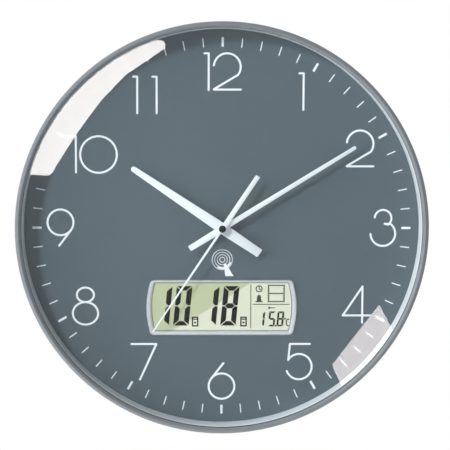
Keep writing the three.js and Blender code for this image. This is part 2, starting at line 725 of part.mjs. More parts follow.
// Every wheel arbor that runs in the two shells: [x, z].
const arbors = [
  [-idlerDistance, 0], [idlerDistance, 0], [-rotorX, rotorZ], [rotorX, rotorZ],
];
const statorPlaces = [
  { side: -1, depth: layer(3) - 0.2 },   // seconds motor, forward of the minute wheel
  { side: 1, depth: layer(1) + 0.3 },    // minutes motor, behind its idler wheel
];
const statorHalf = 7;
const statorArm = 5.2;             // half height of the yoke round the magnet
const statorBottom = moveBottom + moveWall + 2.6;
const legWidth = 2.8;

function shellBox(back, front, cavityBack, cavityFront) {
  const outer = plate(roundedRect(moveWidth / 2, moveBottom, moveTop, 3), back, front, 4);
  const inner = plate(roundedRect(moveWidth / 2 - moveWall, moveBottom + moveWall, moveTop - moveWall, 2),
    cavityBack, cavityFront, 4);
  return cut(outer, inner);
}

function rearShell() {
  const shell = shellBox(moveBack, shellSplit - gap / 2, insideBack, shellSplit + 1);
  const posts = statorPlaces.flatMap(({ side, depth }) => [-1, 1].map((leg) =>
    moved(disc(1.2, insideBack - 0.5, depth - gap, 10),
      side * rotorX + leg * (statorHalf - legWidth / 2), -14)));
  const pivots = [...arbors, [0, 0]].map(([x, z]) =>
    moved(disc(arborRadius + gap, insideBack - pivotDepth, insideBack + 1, 12), x, z));
  return cut(join(shell, ...posts), ...pivots);
}
add('movement_rear_shell', rearShell(), mat.darkPlastic);

const postEnd = layer(4) + 0.5;
function frontShell() {
  const shell = shellBox(shellSplit + gap / 2, innerFront, shellSplit - 1, insideFront);
  const bush = disc(bushRadius, insideFront, bushTop, 20);
  const post = moved(disc(arborRadius, postEnd, insideFront + 0.5, 12), 0, hourDistance);
  const bore = disc(hourTube + gap, insideFront - 1, bushTop + 1, 20);
  const pivots = arbors.map(([x, z]) =>
    moved(disc(arborRadius + gap, insideFront - 1, insideFront + pivotDepth, 12), x, z));
  return cut(join(shell, bush, post), bore, ...pivots);
}
add('movement_front_shell', frontShell(), mat.darkPlastic);

add('dial_washer', tube(bushRadius + gap, washerRadius,
  dialDepth + gap, dialDepth + gap + washerThickness, 24), mat.dial);
const nutBack = dialDepth + 2 * gap + washerThickness;
const nutShape = polygon(around(6, nutAcross / Math.sqrt(3)), bushRadius + gap);
add('dial_nut', plate(nutShape, nutBack, nutBack + nutThickness, 12), mat.blackPlastic);

add('movement_board', join(
  block(-27, 27, boardBottom, boardTop, insideBack + gap, insideBack + gap + 1.2),
  block(-5, 5, boardBottom + 1, boardTop - 1, insideBack + gap + 1, insideBack + gap + 2.8),
), mat.board);

// Arbor that turns in both shells, with a wheel or magnet joined to it.
const arborBack = insideBack - pivotDepth + gap;
const arborFront = insideFront + pivotDepth - gap;
const arbor = () => disc(arborRadius, arborBack, arborFront, 8);

function idler(wheelLayer, pinionLayer, side) {
  // The pinion runs from its own layer to the wheel and meshes with the centre wheel.
  const toCentre = side < 0 ? 0 : Math.PI;
  const pinionBack = layer(pinionLayer) - 0.2;
  const pinion = plate(
    gearShape(centreStage.pinion, centreStage.module, toCentre + halfTooth(centreStage.pinion)),
    pinionBack, layer(wheelLayer) + 0.2);
  const toRotor = side < 0 ? Math.PI + rotorTurn : -rotorTurn;
  const big = wheel(motorStage.wheel, motorStage.module, toRotor, layer(wheelLayer));
  return join(arbor(), pinion, big);
}

function rotor(wheelLayer, magnetDepth, side) {
  const toIdler = side < 0 ? rotorTurn : Math.PI - rotorTurn;
  const phase = toIdler + halfTooth(motorStage.pinion);
  const pinion = plate(gearShape(motorStage.pinion, motorStage.module, phase),
    layer(wheelLayer) - 0.2, layer(wheelLayer) + gearThickness + 0.2);
  const magnet = disc(magnetRadius, magnetDepth, magnetDepth + magnetLength);
  return join(arbor(), pinion, magnet);
}

function motor(name, wheelLayer, { side, depth }) {
  const x = side * rotorX;
  const magnetDepth = depth + statorThickness / 2 - magnetLength / 2;
  addAt(`${name}_rotor`, rotor(wheelLayer, magnetDepth, side), mat.steel, x, rotorZ);

  const yoke = polygon([
    [-statorHalf, statorBottom], [-statorHalf, rotorZ + statorArm], [statorHalf, rotorZ + statorArm],
    [statorHalf, statorBottom], [statorHalf - legWidth, statorBottom],
    [statorHalf - legWidth, rotorZ - statorArm], [legWidth - statorHalf, rotorZ - statorArm],
    [legWidth - statorHalf, statorBottom],
  ], magnetRadius + 1.5 * gap, rotorZ);
  addAt(`${name}_stator`, plate(yoke, depth, depth + statorThickness), mat.steel, x, 0);

  const coreBack = depth + statorThickness + gap;
  const coreMiddle = coreBack + statorThickness / 2;
  const core = block(-statorHalf, statorHalf, statorBottom, statorBottom + coreHeight,
    coreBack, coreBack + statorThickness);
  const winding = new THREE.CylinderGeometry(coilRadius, coilRadius, coilLength, 16);
  winding.rotateZ(Math.PI / 2);
  winding.translate(0, -coreMiddle, statorBottom + coreHeight / 2);
  addAt(`${name}_coil`, join(core, winding), mat.copper, x, 0);
}

addAt('seconds_idler', idler(1, 0, -1), mat.acetal, -idlerDistance, 0);
motor('seconds', 1, statorPlaces[0]);
addAt('minutes_idler', idler(3, 2, 1), mat.acetal, idlerDistance, 0);
motor('minutes', 3, statorPlaces[1]);

// Collars press the hands onto the ends of the nested arbors.
const secondTop = second.depth + handThickness + gap;
const minuteTop = minute.depth + handThickness + 0.2;
const hourTop = hour.depth + handThickness + 0.2;

add('second_wheel', join(
  wheel(centreStage.wheel, centreStage.module, Math.PI, layer(0)),
  disc(secondArbor, arborBack, secondTop - gap, 10),
), mat.acetal);

add('minute_wheel', join(
  wheel(centreStage.wheel, centreStage.module, 0, layer(2), secondArbor + gap),
  tube(secondArbor + gap, minuteTube, layer(2) - 0.2, minuteTop),
  plate(gearShape(cannonStage.pinion, cannonStage.module, Math.PI / 2 + halfTooth(cannonStage.pinion),
    secondArbor + gap), layer(5) - 0.5, layer(5) + gearThickness + 0.2),
), mat.acetal);

addAt('reversing_wheel', join(
  wheel(cannonStage.wheel, cannonStage.module, -Math.PI / 2, layer(5), arborRadius + gap),
  plate(gearShape(hourStage.pinion, hourStage.module, -Math.PI / 2 + halfTooth(hourStage.pinion),
    arborRadius + gap), layer(5) + gearThickness / 2, layer(6) + gearThickness + 0.2),
), mat.acetal, 0, hourDistance);

add('hour_wheel', join(
  wheel(hourStage.wheel, hourStage.module, Math.PI / 2, layer(6), minuteTube + gap),
  tube(minuteTube + gap, hourTube, layer(6) - 0.1, hourTop),
), mat.acetal);

// ---------------------------------------------------------------- radio receiver

const rod = new THREE.CylinderGeometry(ferriteRadius, ferriteRadius, ferriteLength, smallSides);
rod.rotateZ(Math.PI / 2);
rod.translate(0, -ferriteDepth, ferriteZ);
add('ferrite_rod', rod, mat.ferrite);

function antennaCoil() {
  const along = (radius, length) => {
    const g = new THREE.CylinderGeometry(radius, radius, length, 20);
    g.rotateZ(Math.PI / 2);
    return g.translate(0, -ferriteDepth, ferriteZ);
  };
  return cut(along(antennaCoilRadius, antennaCoilLength), along(ferriteRadius + gap, antennaCoilLength + 2));
}
add('antenna_coil', antennaCoil(), mat.copper);

// ---------------------------------------------------------------- hands

// A tapered baton: rounded tip, square tail.
function handShape({ length, tail, root, tip, tailRoot, tailTip }) {
  const s = new THREE.Shape();
  const end = length - tip / 2;
  s.moveTo(tailTip / 2, -tail);
  s.lineTo(tailRoot / 2, 0);
  if (root !== tailRoot) s.lineTo(root / 2, 0);
  s.lineTo(tip / 2, end);
  s.absarc(0, end, tip / 2, 0, Math.PI);
  if (root !== tailRoot) s.lineTo(-root / 2, 0);
  s.lineTo(-tailRoot / 2, 0);
  s.lineTo(-tailTip / 2, -tail);
  s.closePath();
  return s;
}

function hand(name, spec, collarRadius, hubRadius = 0) {
  const { depth, angle, bore } = spec;
  const blade = plate(handShape(spec), depth, depth + handThickness, 6);
  const collar = disc(collarRadius, depth - handCollar, depth + handThickness);
  const hub = disc(Math.max(hubRadius, collarRadius), depth, depth + handThickness, 20);
  const hole = disc(bore + gap, depth - handCollar - 1, depth + handThickness + 1);
  const mesh = add(name, cut(join(blade, collar, hub), hole), mat.white);
  mesh.rotation.y = THREE.MathUtils.degToRad(angle);
  return mesh;
}
hand('hour_hand', hour, hourTube + 1.5);
hand('minute_hand', minute, minuteTube + 1.3);
hand('second_hand', second, secondArbor + 1.1, secondHub);

add('hub_cap', turned([
  [0, secondTop], [hubCapRadius, secondTop], [hubCapRadius, secondTop + 0.7 * hubCapHeight],
  [hubCapRadius - 0.5, secondTop + hubCapHeight], [0, secondTop + hubCapHeight],
], 20), mat.blackPlastic);

export default clock;
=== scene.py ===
import json
import math

import bmesh
import bpy
from mathutils import Matrix, Vector


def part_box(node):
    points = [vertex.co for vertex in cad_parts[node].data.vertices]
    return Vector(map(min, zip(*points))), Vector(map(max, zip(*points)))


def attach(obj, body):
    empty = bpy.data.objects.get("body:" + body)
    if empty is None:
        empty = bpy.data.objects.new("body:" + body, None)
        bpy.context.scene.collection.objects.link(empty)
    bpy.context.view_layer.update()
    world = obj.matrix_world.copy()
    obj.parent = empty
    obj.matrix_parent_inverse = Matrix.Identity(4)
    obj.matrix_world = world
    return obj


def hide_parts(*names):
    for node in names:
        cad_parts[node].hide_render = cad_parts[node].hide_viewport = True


bl_info = {
    "name": "Radio-controlled wall clock",
    "version": (1, 0, 0),
    "blender": (4, 5, 0),
    "location": "3D View > Sidebar > Wall Clock",
    "description": "Builds the finished surfaces of a wall clock round its CAD frame",
    "category": "Object",
}

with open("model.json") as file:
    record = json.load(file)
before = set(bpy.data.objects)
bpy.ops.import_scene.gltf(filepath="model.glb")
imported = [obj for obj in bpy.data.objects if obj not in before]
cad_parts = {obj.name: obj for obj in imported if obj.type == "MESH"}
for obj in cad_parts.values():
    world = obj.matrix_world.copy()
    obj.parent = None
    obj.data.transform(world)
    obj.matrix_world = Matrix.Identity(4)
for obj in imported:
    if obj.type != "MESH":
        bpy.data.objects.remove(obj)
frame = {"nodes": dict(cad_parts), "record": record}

MM = 0.001
NODES = frame["nodes"]
CASE = "clock_case"
TOUCHING = 1e-4                      # vertices nearer than this, in mm, become one
SHARP_ANGLE = math.radians(32)       # edges that turn by more than this stay crisp


def box_mm(name):
    """Lowest and highest corner of a CAD node, in millimetres."""
    low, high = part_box(name)
    return low / MM, high / MM


def middle_mm(name):
    """Middle of a CAD node's box, in millimetres."""
    low, high = box_mm(name)
    return (low + high) / 2


# ------------------------------------------------------------------ sizes and colours a user may change

class ClockSizes(bpy.types.PropertyGroup):
    ring_steps: bpy.props.IntProperty(
        name="Ring steps", description="Facets round the large rings", default=240, min=48)
    print_height: bpy.props.FloatProperty(
        name="Ink height", description="Ink above the dial, mm", default=0.06)
    numeral_stroke: bpy.props.FloatProperty(
        name="Numeral stroke", description="Width of the numeral strokes, mm", default=1.75)
    tick_inner: bpy.props.FloatProperty(
        name="Mark inner radius", description="Where the minute marks start, mm", default=156.6)
    tick_outer: bpy.props.FloatProperty(
        name="Mark outer radius", description="Where the minute marks end, mm", default=164.6)
    tick_width: bpy.props.FloatProperty(
        name="Minute mark width", description="Width of a minute mark, mm", default=0.95)
    hour_tick_width: bpy.props.FloatProperty(
        name="Hour mark width", description="Width of every fifth mark, mm", default=2.0)
    hour_angle: bpy.props.FloatProperty(
        name="Hour hand", description="Clockwise from 12", default=math.radians(303.8), subtype="ANGLE")
    minute_angle: bpy.props.FloatProperty(
        name="Minute hand", description="Clockwise from 12", default=math.radians(58.4), subtype="ANGLE")
    second_angle: bpy.props.FloatProperty(
        name="Second hand", description="Clockwise from 12", default=math.radians(213.8), subtype="ANGLE")


def linear(hex_code):
    """An sRGB hex colour as linear red, green, blue and alpha."""
    parts = [int(hex_code[i:i + 2], 16) / 255 for i in (1, 3, 5)]
    return (*[p / 12.92 if p <= 0.04045 else ((p + 0.055) / 1.055) ** 2.4 for p in parts], 1.0)


def colour_prop(name, about, hex_code):
    """A colour a user may change, with its default as a hex code."""
    return bpy.props.FloatVectorProperty(
        name=name, description=about, subtype="COLOR", size=4, min=0, max=1, default=linear(hex_code))


class ClockColours(bpy.types.PropertyGroup):
    silver: colour_prop("Rim lacquer", "Satin silver lacquer of the rim and case", "#82888d")
    bright: colour_prop("Inner ring lacquer", "Pale silver lacquer of the ring round the dial", "#e6eef2")
    dial: colour_prop("Dial", "Slate grey print of the dial", "#46555d")
    ink: colour_prop("Dial ink", "White ink of the numerals and marks", "#eef3f7")
    hands: colour_prop("Hands", "White lacquer of the hands", "#e6eef3")
    back: colour_prop("Back", "Moulded plastic of the back", "#2f3235")
    # The two window colours split the liquid crystal panel along a curved edge: the pale one carries a
    # painted sheen, the greener one painted shade.
    window: colour_prop("Window", "Pale liquid crystal background", "#dadfc9")
    window_painted_shade: colour_prop("Window shade", "Greener part of the liquid crystal background", "#b8c29c")


def sizes():
    return bpy.context.scene.clock_sizes


def colours():
    return bpy.context.scene.clock_colours


# ------------------------------------------------------------------ mesh helpers, in millimetres

def outline_points(*parts):
    """Joins corner points and arcs into one list."""
    joined = []
    for part in parts:
        joined.extend(part if isinstance(part, list) else [part])
    return joined


def arc(cx, cz, rx, rz, start, end, count=24):
    """Points of an ellipse arc between two angles in degrees."""
    turn = [math.radians(start + (end - start) * i / count) for i in range(count + 1)]
    return [(cx + rx * math.cos(a), cz + rz * math.sin(a)) for a in turn]


def oval(cx, cz, rx, rz, count):
    """Points all the way round an ellipse."""
    return arc(cx, cz, rx, rz, 0, 360 - 360 / count, count - 1)


def oblong(x0, x1, z0, z1):
    """Corners of a square-cornered box outline."""
    return [(x0, z0), (x1, z0), (x1, z1), (x0, z1)]


def rounded_box(x0, x1, z0, z1, radius):
    """Outline of a box with round corners."""
    steps = 5
    return outline_points(
        arc(x1 - radius, z0 + radius, radius, radius, -90, 0, steps),
        arc(x1 - radius, z1 - radius, radius, radius, 0, 90, steps),
        arc(x0 + radius, z1 - radius, radius, radius, 90, 180, steps),
        arc(x0 + radius, z0 + radius, radius, radius, 180, 270, steps))


def new_verts(bm, outline, depth):
    """New vertices along an outline, at one depth from the back of the clock."""
    return [bm.verts.new((x, -depth, z)) for x, z in outline]


def prism(bm, outline, back, front):
    """A flat piece with a closed outline, between two depths. Returns its vertices."""
    base = new_verts(bm, outline, back)
    made = bmesh.ops.extrude_face_region(bm, geom=[bm.faces.new(base)], use_keep_orig=True)
    moved = [v for v in made["geom"] if isinstance(v, bmesh.types.BMVert)]
    bmesh.ops.translate(bm, verts=moved, vec=(0, back - front, 0))
    return base + moved


def loft(bm, loops, close=False, capped=False):
    """Skins loops of equal length, given as (outline, depth), one after another."""
    first = verts = new_verts(bm, *loops[0])
    edges = first_edges = [bm.edges.new((verts[i - 1], verts[i])) for i in range(len(verts))]
    for outline, depth in loops[1:] + loops[:1] * close:
        made = bmesh.ops.extrude_edge_only(bm, edges=edges)["geom"]
        fresh = {v for v in made if isinstance(v, bmesh.types.BMVert)}
        verts = [next(e.other_vert(v) for e in v.link_edges if e.other_vert(v) in fresh) for v in verts]
        for vert, (x, z) in zip(verts, outline):
            vert.co = (x, -depth, z)
        edges = [e for e in made if isinstance(e, bmesh.types.BMEdge) and fresh.issuperset(e.verts)]
    if close:
        bmesh.ops.remove_doubles(bm, verts=first + verts, dist=TOUCHING)
    if capped:
        bmesh.ops.contextual_create(bm, geom=first_edges)
        bmesh.ops.contextual_create(bm, geom=edges)


def turned(bm, profile, steps=None, x=0.0, z=0.0):
    """A solid of revolution about the hand axis, or one parallel to it, from (radius, depth) points."""
    known = set(bm.verts)
    verts = [bm.verts.new((radius, -depth, 0)) for radius, depth in profile]
    edges = [bm.edges.new(pair) for pair in zip(verts, verts[1:])]
    ends_on_axis = profile[0][0] == 0 and profile[-1][0] == 0
    if not ends_on_axis:
        edges.append(bm.edges.new((verts[-1], verts[0])))
    bmesh.ops.spin(bm, geom=verts + edges, cent=(0, 0, 0), axis=(0, 1, 0), dvec=(0, 0, 0),
                   angle=2 * math.pi, steps=steps or sizes().ring_steps, use_merge=True, use_duplicate=False)
    bmesh.ops.remove_doubles(bm, verts=[v for v in bm.verts if v not in known], dist=TOUCHING)
    bmesh.ops.translate(bm, verts=[v for v in bm.verts if v not in known], vec=(x, 0, z))


def turn_by(bm, angle, verts):
    """Turns vertices clockwise as seen from the front, about the hand axis."""
    bmesh.ops.rotate(bm, verts=verts, cent=(0, 0, 0), matrix=Matrix.Rotation(angle, 3, "Y"))


def soften(bm, width, limit):
    """Rounds every edge that is sharper than a limit in degrees."""
    bmesh.ops.recalc_face_normals(bm, faces=bm.faces)
    sharp = [e for e in bm.edges if len(e.link_faces) == 2
             and abs(e.calc_face_angle_signed(0)) > math.radians(limit)]
    bmesh.ops.bevel(bm, geom=sharp, offset=width, offset_type="OFFSET", segments=2, profile=0.5,
                    affect="EDGES", clamp_overlap=True, material=-1)


def side_normals(path):
    """Unit normals of a path at its points."""
    made = []
    for i in range(len(path)):
        before, after = path[max(i - 1, 0)], path[min(i + 1, len(path) - 1)]
        dx, dz = after[0] - before[0], after[1] - before[1]
        length = math.hypot(dx, dz)
        made.append((-dz / length, dx / length))
    return made


def round_end(centre, normal, radius):
    """Points of a half circle, clockwise from the side that a normal points to."""
    steps = 8
    start = math.atan2(normal[1], normal[0])
    turn = [start - math.pi * i / steps for i in range(1, steps)]
    return [(centre[0] + radius * math.cos(a), centre[1] + radius * math.sin(a)) for a in turn]


def stroke(bm, path, width, back, front):
    """A pen stroke along a smooth path, with round ends."""
    half = width / 2
    normals = side_normals(path)
    left = [(p[0] + n[0] * half, p[1] + n[1] * half) for p, n in zip(path, normals)]
    right = [(p[0] - n[0] * half, p[1] - n[1] * half) for p, n in zip(path, normals)]
    last = round_end(path[-1], normals[-1], half)
    first = round_end(path[0], (-normals[0][0], -normals[0][1]), half)
    prism(bm, left + last + right[::-1] + first, back, front)


def ring(bm, cx, cz, rx, rz, width, back, front, count=72):
    """A closed round stroke: an ellipse band of even width."""
    outer = oval(cx, cz, rx + width / 2, rz + width / 2, count)
    inner = oval(cx, cz, rx - width / 2, rz - width / 2, count)
    loft(bm, [(outer, back), (outer, front), (inner, front), (inner, back)], close=True)


def shaded(bm):
    """Smooth faces, with the edges that turn sharply left crisp."""
    for edge in bm.edges:
        edge.smooth = len(edge.link_faces) == 2 and abs(edge.calc_face_angle_signed(0)) < SHARP_ANGLE
    for face in bm.faces:
        face.smooth = True


def placed(bm, name):
    """Adds a mesh in millimetres to the scene as an object in metres."""
    if not bm.faces:
        raise RuntimeError(f"{name} came out empty")
    bmesh.ops.recalc_face_normals(bm, faces=bm.faces)
    shaded(bm)
    bmesh.ops.transform(bm, matrix=Matrix.Scale(MM, 4), verts=bm.verts)
    mesh = bpy.data.meshes.new(name)
    bm.to_mesh(mesh)
    bm.free()
    made = bpy.data.objects.new(name, mesh)
    bpy.context.scene.collection.objects.link(made)
    return made


def finished(bm, name, body, slot, replaces=(), look=None, merge=True):
    """Makes a mesh a piece that rides on a CAD body, in its slot's finish unless a look is named."""
    if merge:
        bmesh.ops.remove_doubles(bm, verts=bm.verts, dist=TOUCHING)
    piece = placed(bm, name)
    piece.data.materials.append(finish(look or slot))
    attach(piece, body)
    if replaces:
        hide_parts(*replaces)
    return piece


def cut_with(piece, tools):
    """Cuts plain objects out of a piece and removes them."""
    for tool in tools:
        step = piece.modifiers.new("cut", "BOOLEAN")
        step.operation = "DIFFERENCE"
        step.solver = "MANIFOLD"
        step.object = tool
    view = bpy.context.evaluated_depsgraph_get()
    mesh = bpy.data.meshes.new_from_object(piece.evaluated_get(view))
    if not mesh.polygons:
        raise RuntimeError(f"{piece.name} came out empty")
    piece.modifiers.clear()
    piece.data = mesh
    for tool in tools:
        bpy.data.objects.remove(tool)
    bm = bmesh.new()
    bm.from_mesh(mesh)
    shaded(bm)
    bm.to_mesh(mesh)
    bm.free()


# ------------------------------------------------------------------ material helpers

def put(tree, kind, inputs=None, **settings):
    """Adds a shader node with its settings, values and links."""
    made = tree.nodes.new(kind)
    for name, value in settings.items():
        setattr(made, name, value)
    for key, value in (inputs or {}).items():
        if isinstance(value, bpy.types.NodeSocket):
            tree.links.new(value, made.inputs[key])
        else:
            made.inputs[key].default_value = value
    return made


def material(name):
    """An empty node material with its output node."""
    made = bpy.data.materials.new(name)
    made.use_nodes = True
    made.node_tree.nodes.clear()
    return made, made.node_tree, put(made.node_tree, "ShaderNodeOutputMaterial")


def grain(tree, size_mm, detail=2.0, stretch=(1, 1, 1)):
    """Noise whose grains measure size_mm, on the piece's own coordinates."""
    place = put(tree, "ShaderNodeTexCoord")
    mapped = put(tree, "ShaderNodeMapping", {"Vector": place.outputs["Object"], "Scale": stretch})
    return put(tree, "ShaderNodeTexNoise", {
        "Vector": mapped.outputs["Vector"], "Scale": 1 / (size_mm * MM), "Detail": detail, "Roughness": 0.55})


def tinted(tree, noise, colour, spread):
    """The colour, a little lighter and darker with the noise."""
    low = [c * (1 - spread) for c in colour[:3]] + [1]
    high = [min(c * (1 + spread), 1) for c in colour[:3]] + [1]
    ramp = put(tree, "ShaderNodeValToRGB", {"Fac": noise.outputs["Fac"]})
    ramp.color_ramp.elements[0].position = 0.3
    ramp.color_ramp.elements[0].color = low
    ramp.color_ramp.elements[1].position = 0.7
    ramp.color_ramp.elements[1].color = high
    return ramp.outputs["Color"]


def spread_between(tree, noise, low, high):
    """Maps the noise to values between low and high."""
    return put(tree, "ShaderNodeMapRange", {
        "Value": noise.outputs["Fac"], "From Min": 0.3, "From Max": 0.7, "To Min": low, "To Max": high,
    }).outputs["Result"]


def surface(name, colour, rough, grain_mm, metallic=0.0, tint=0.04, rough_spread=0.05, bump_mm=0.01,
            stretch=(1, 1, 1), ior=1.5, coat=0.0, coat_rough=0.1):
    """A solid finish: grain in its colour, its gloss and its relief."""
    made, tree, out = material(name)
    fine = grain(tree, grain_mm, stretch=stretch)
    wide = grain(tree, 40 * grain_mm, detail=1.0)
    relief = put(tree, "ShaderNodeBump", {
        "Height": fine.outputs["Fac"], "Distance": bump_mm * MM, "Strength": 1.0})
    shader = put(tree, "ShaderNodeBsdfPrincipled", {
        "Base Color": tinted(tree, wide, colour, tint),
        "Roughness": spread_between(tree, fine, rough - rough_spread, rough + rough_spread),
        "Normal": relief.outputs["Normal"], "Metallic": metallic, "IOR": ior,
        "Coat Weight": coat, "Coat Roughness": coat_rough})
    tree.links.new(shader.outputs["BSDF"], out.inputs["Surface"])
    return made


# ------------------------------------------------------------------ the clock's finishes

MATERIALS = {}


def finish(name):
    """The named finish, made on first use."""
    if name not in MATERIALS:
        MATERIALS[name] = FINISHES[name]()
    return MATERIALS[name]


def silver_lacquer():
    # ABS sprayed with satin silver lacquer: fine flake that the eye reads as a soft even sheen.
    return surface("satin_silver_lacquer", colours().silver, 0.38, 0.4, metallic=0.35, tint=0.02,
                   rough_spread=0.03, bump_mm=0.002, coat=0.25, coat_rough=0.25)


def bright_lacquer():
    # The inner ring's paler, smoother silver lacquer, which catches the light round the dial.
    return surface("bright_silver_lacquer", colours().bright, 0.3, 0.5, metallic=0.15, tint=0.02,
                   rough_spread=0.03, bump_mm=0.002, coat=0.2, coat_rough=0.2)


def window_lacquer():
    # Satin silver of the window bezel, a shade deeper than the ring so that its rolled edge reads.
    return surface("window_bezel_silver", linear("#c4c8cd"), 0.28, 0.5, metallic=0.35, tint=0.02,
                   rough_spread=0.03, bump_mm=0.002, coat=0.2, coat_rough=0.2)


def dial_print():
    # Screen-printed slate grey on a flat sheet: matt, even, with a faint tooth.
    return surface("slate_screen_print", colours().dial, 0.62, 0.25, tint=0.015, rough_spread=0.04,
                   bump_mm=0.003)


def white_ink():
    # Thick white screen ink: slightly chalky, with a fine tooth.
    return surface("white_screen_ink", colours().ink, 0.5, 0.2, tint=0.01, bump_mm=0.003)


def hand_lacquer():
    # White lacquer on pressed aluminium: smooth, cool white, soft gloss.
    return surface("white_hand_lacquer", colours().hands, 0.4, 0.6, tint=0.01, rough_spread=0.03,
                   bump_mm=0.002, coat=0.2, coat_rough=0.2)


def back_plastic():
    # Injection-moulded ABS with a spark-eroded texture; the grain is drawn at 0.5 mm so that it shows.
    return surface("spark_textured_abs", colours().back, 0.55, 0.5, tint=0.06, bump_mm=0.05)


def black_plastic():
    # Smooth black ABS of the buttons, the cap and small mouldings.
    return surface("satin_black_abs", linear("#08090a"), 0.42, 0.5, tint=0.05, bump_mm=0.006, ior=1.2)


def black_rubber():
    # Black elastomer: matt, faintly dusty.
    return surface("black_elastomer", linear("#232426"), 0.8, 0.4, tint=0.08, bump_mm=0.02)


def acetal():
    # Natural acetal of the wheels: milky, waxy.
    return surface("natural_acetal", linear("#e3dfd2"), 0.45, 0.4, tint=0.02, bump_mm=0.003)


def zinc_steel():
    # Zinc-plated steel: cool, faintly mottled by the plating's spangle.
    return surface("zinc_plated_steel", linear("#b4b8bc"), 0.32, 0.8, metallic=1.0, tint=0.1, bump_mm=0.004)


def nickel():
    # Nickel-plated spring strip: bright and slightly yellow.
    return surface("nickel_plate", linear("#c9c7bf"), 0.25, 0.4, metallic=1.0, tint=0.05, bump_mm=0.003)


def copper_wire():
    # Enamelled copper wire: turns of 0.12 mm, drawn at 0.5 mm so that they show.
    return surface("enamelled_copper", linear("#9c4f27"), 0.3, 0.5, metallic=0.6, tint=0.2, bump_mm=0.05,
                   stretch=(1, 0.05, 0.05))


def circuit_board():
    # Green solder resist over glass cloth: glossy with a woven shade.
    return surface("green_solder_resist", linear("#1f5136"), 0.3, 0.6, tint=0.15, bump_mm=0.01)


def ferrite():
    # Sintered ferrite: dark, dull and grainy.
    return surface("sintered_ferrite", linear("#3a3b3e"), 0.7, 0.3, tint=0.15, bump_mm=0.03)


def cell_jacket():
    # Shrink-wrapped steel jacket of a plain cell: satin, slightly metallic.
    return surface("plain_cell_jacket", linear("#3f474e"), 0.3, 2.0, metallic=0.5, tint=0.05, bump_mm=0.004)


def reflector_film():
    # Matt reflector film behind the liquid crystal.
    return surface("reflector_film", linear("#c6cbb4"), 0.6, 0.2, metallic=0.3, tint=0.03, bump_mm=0.003)


def segment_ink():
    # Switched-on liquid crystal segments: near black, slightly soft.
    return surface("liquid_crystal_segment", linear("#020202"), 0.8, 0.4, tint=0.1, bump_mm=0.001, ior=1.02)


def segment_grey():
    # Printed frame lines of the window, in dark grey.
    return surface("window_print_grey", linear("#3c4138"), 0.55, 0.3, tint=0.08, bump_mm=0.001, ior=1.2)


def symbol_grey():
    # Thin grey ink of the signal rings, half as bright as the numerals.
    return surface("grey_screen_ink", linear("#d3dade"), 0.5, 0.2, tint=0.02, bump_mm=0.003)


def crystal_window():
    # Polarising film over liquid crystal in pale green, with a painted reflection: a greener upper left in
    # painted shade and a paler lower right with a painted sheen, parted by a crisp curved edge.
    made, tree, out = material("liquid_crystal_film")
    place = put(tree, "ShaderNodeTexCoord")
    far = Vector((-0.639, 0, 0.951))     # centre of the wide arc that parts the two shades, in m
    reach = 1.1998                       # its radius
    offset = put(tree, "ShaderNodeVectorMath", {
        0: place.outputs["Object"], 1: far}, operation="SUBTRACT")
    flat = put(tree, "ShaderNodeVectorMath", {
        0: offset.outputs["Vector"], 1: (1, 0, 1)}, operation="MULTIPLY")
    length = put(tree, "ShaderNodeVectorMath", {0: flat.outputs["Vector"]}, operation="LENGTH")
    edge = put(tree, "ShaderNodeMapRange", {
        "Value": length.outputs["Value"], "From Min": reach - 0.0006, "From Max": reach + 0.0006})
    # painted reflection: the greener painted shade and the paler painted sheen meet at the arc
    mixed = put(tree, "ShaderNodeMix", {
        "Factor": edge.outputs["Result"], "A": colours().window_painted_shade, "B": colours().window,
    }, data_type="RGBA")
    fine = grain(tree, 0.6)
    rough = spread_between(tree, fine, 0.28, 0.36)
    shader = put(tree, "ShaderNodeBsdfPrincipled", {
        "Base Color": mixed.outputs["Result"], "Roughness": rough, "IOR": 1.45})
    tree.links.new(shader.outputs["BSDF"], out.inputs["Surface"])
    return made


def float_glass():
    # Clear float glass, 2 mm, with polished faces. Lamps reach what is behind it.
    made, tree, out = material("clear_float_glass")
    glass = put(tree, "ShaderNodeBsdfPrincipled", {
        "Base Color": linear("#fbfdfd"), "Roughness": 0.0, "IOR": 1.5, "Transmission Weight": 1.0})
    clear = put(tree, "ShaderNodeBsdfTransparent")
    ray = put(tree, "ShaderNodeLightPath")
    lets_light = put(tree, "ShaderNodeMath", {
        0: ray.outputs["Is Shadow Ray"], 1: ray.outputs["Is Diffuse Ray"]}, operation="MAXIMUM")
    mixed = put(tree, "ShaderNodeMixShader", {
        0: lets_light.outputs["Value"], 1: glass.outputs["BSDF"], 2: clear.outputs["BSDF"]})
    tree.links.new(mixed.outputs["Shader"], out.inputs["Surface"])
    return made


FINISHES = {
    "silver_case": silver_lacquer, "bright_ring": bright_lacquer, "front_glass": float_glass,
    "black_rubber": black_rubber, "slate_dial": dial_print, "dark_plastic": back_plastic,
    "black_plastic": black_plastic, "lcd_panel": crystal_window, "lcd_reflector": reflector_film,
    "hand_lacquer": hand_lacquer, "gear_plastic": acetal, "zinc_steel": zinc_steel,
    "nickel_contact": nickel, "copper_winding": copper_wire, "circuit_board": circuit_board,
    "ferrite": ferrite, "cell_jacket": cell_jacket, "dial_ink": white_ink, "symbol_ink": symbol_grey,
    "segment": segment_ink, "window_silver": window_lacquer, "window_print": segment_grey,
}


# ------------------------------------------------------------------ case, rim and glass

LIP_WIDTH = 5.3      # from the outside of the rim to the opening over the glass
SKIRT_WALL = 1.3     # thickness of the rim's outer wall


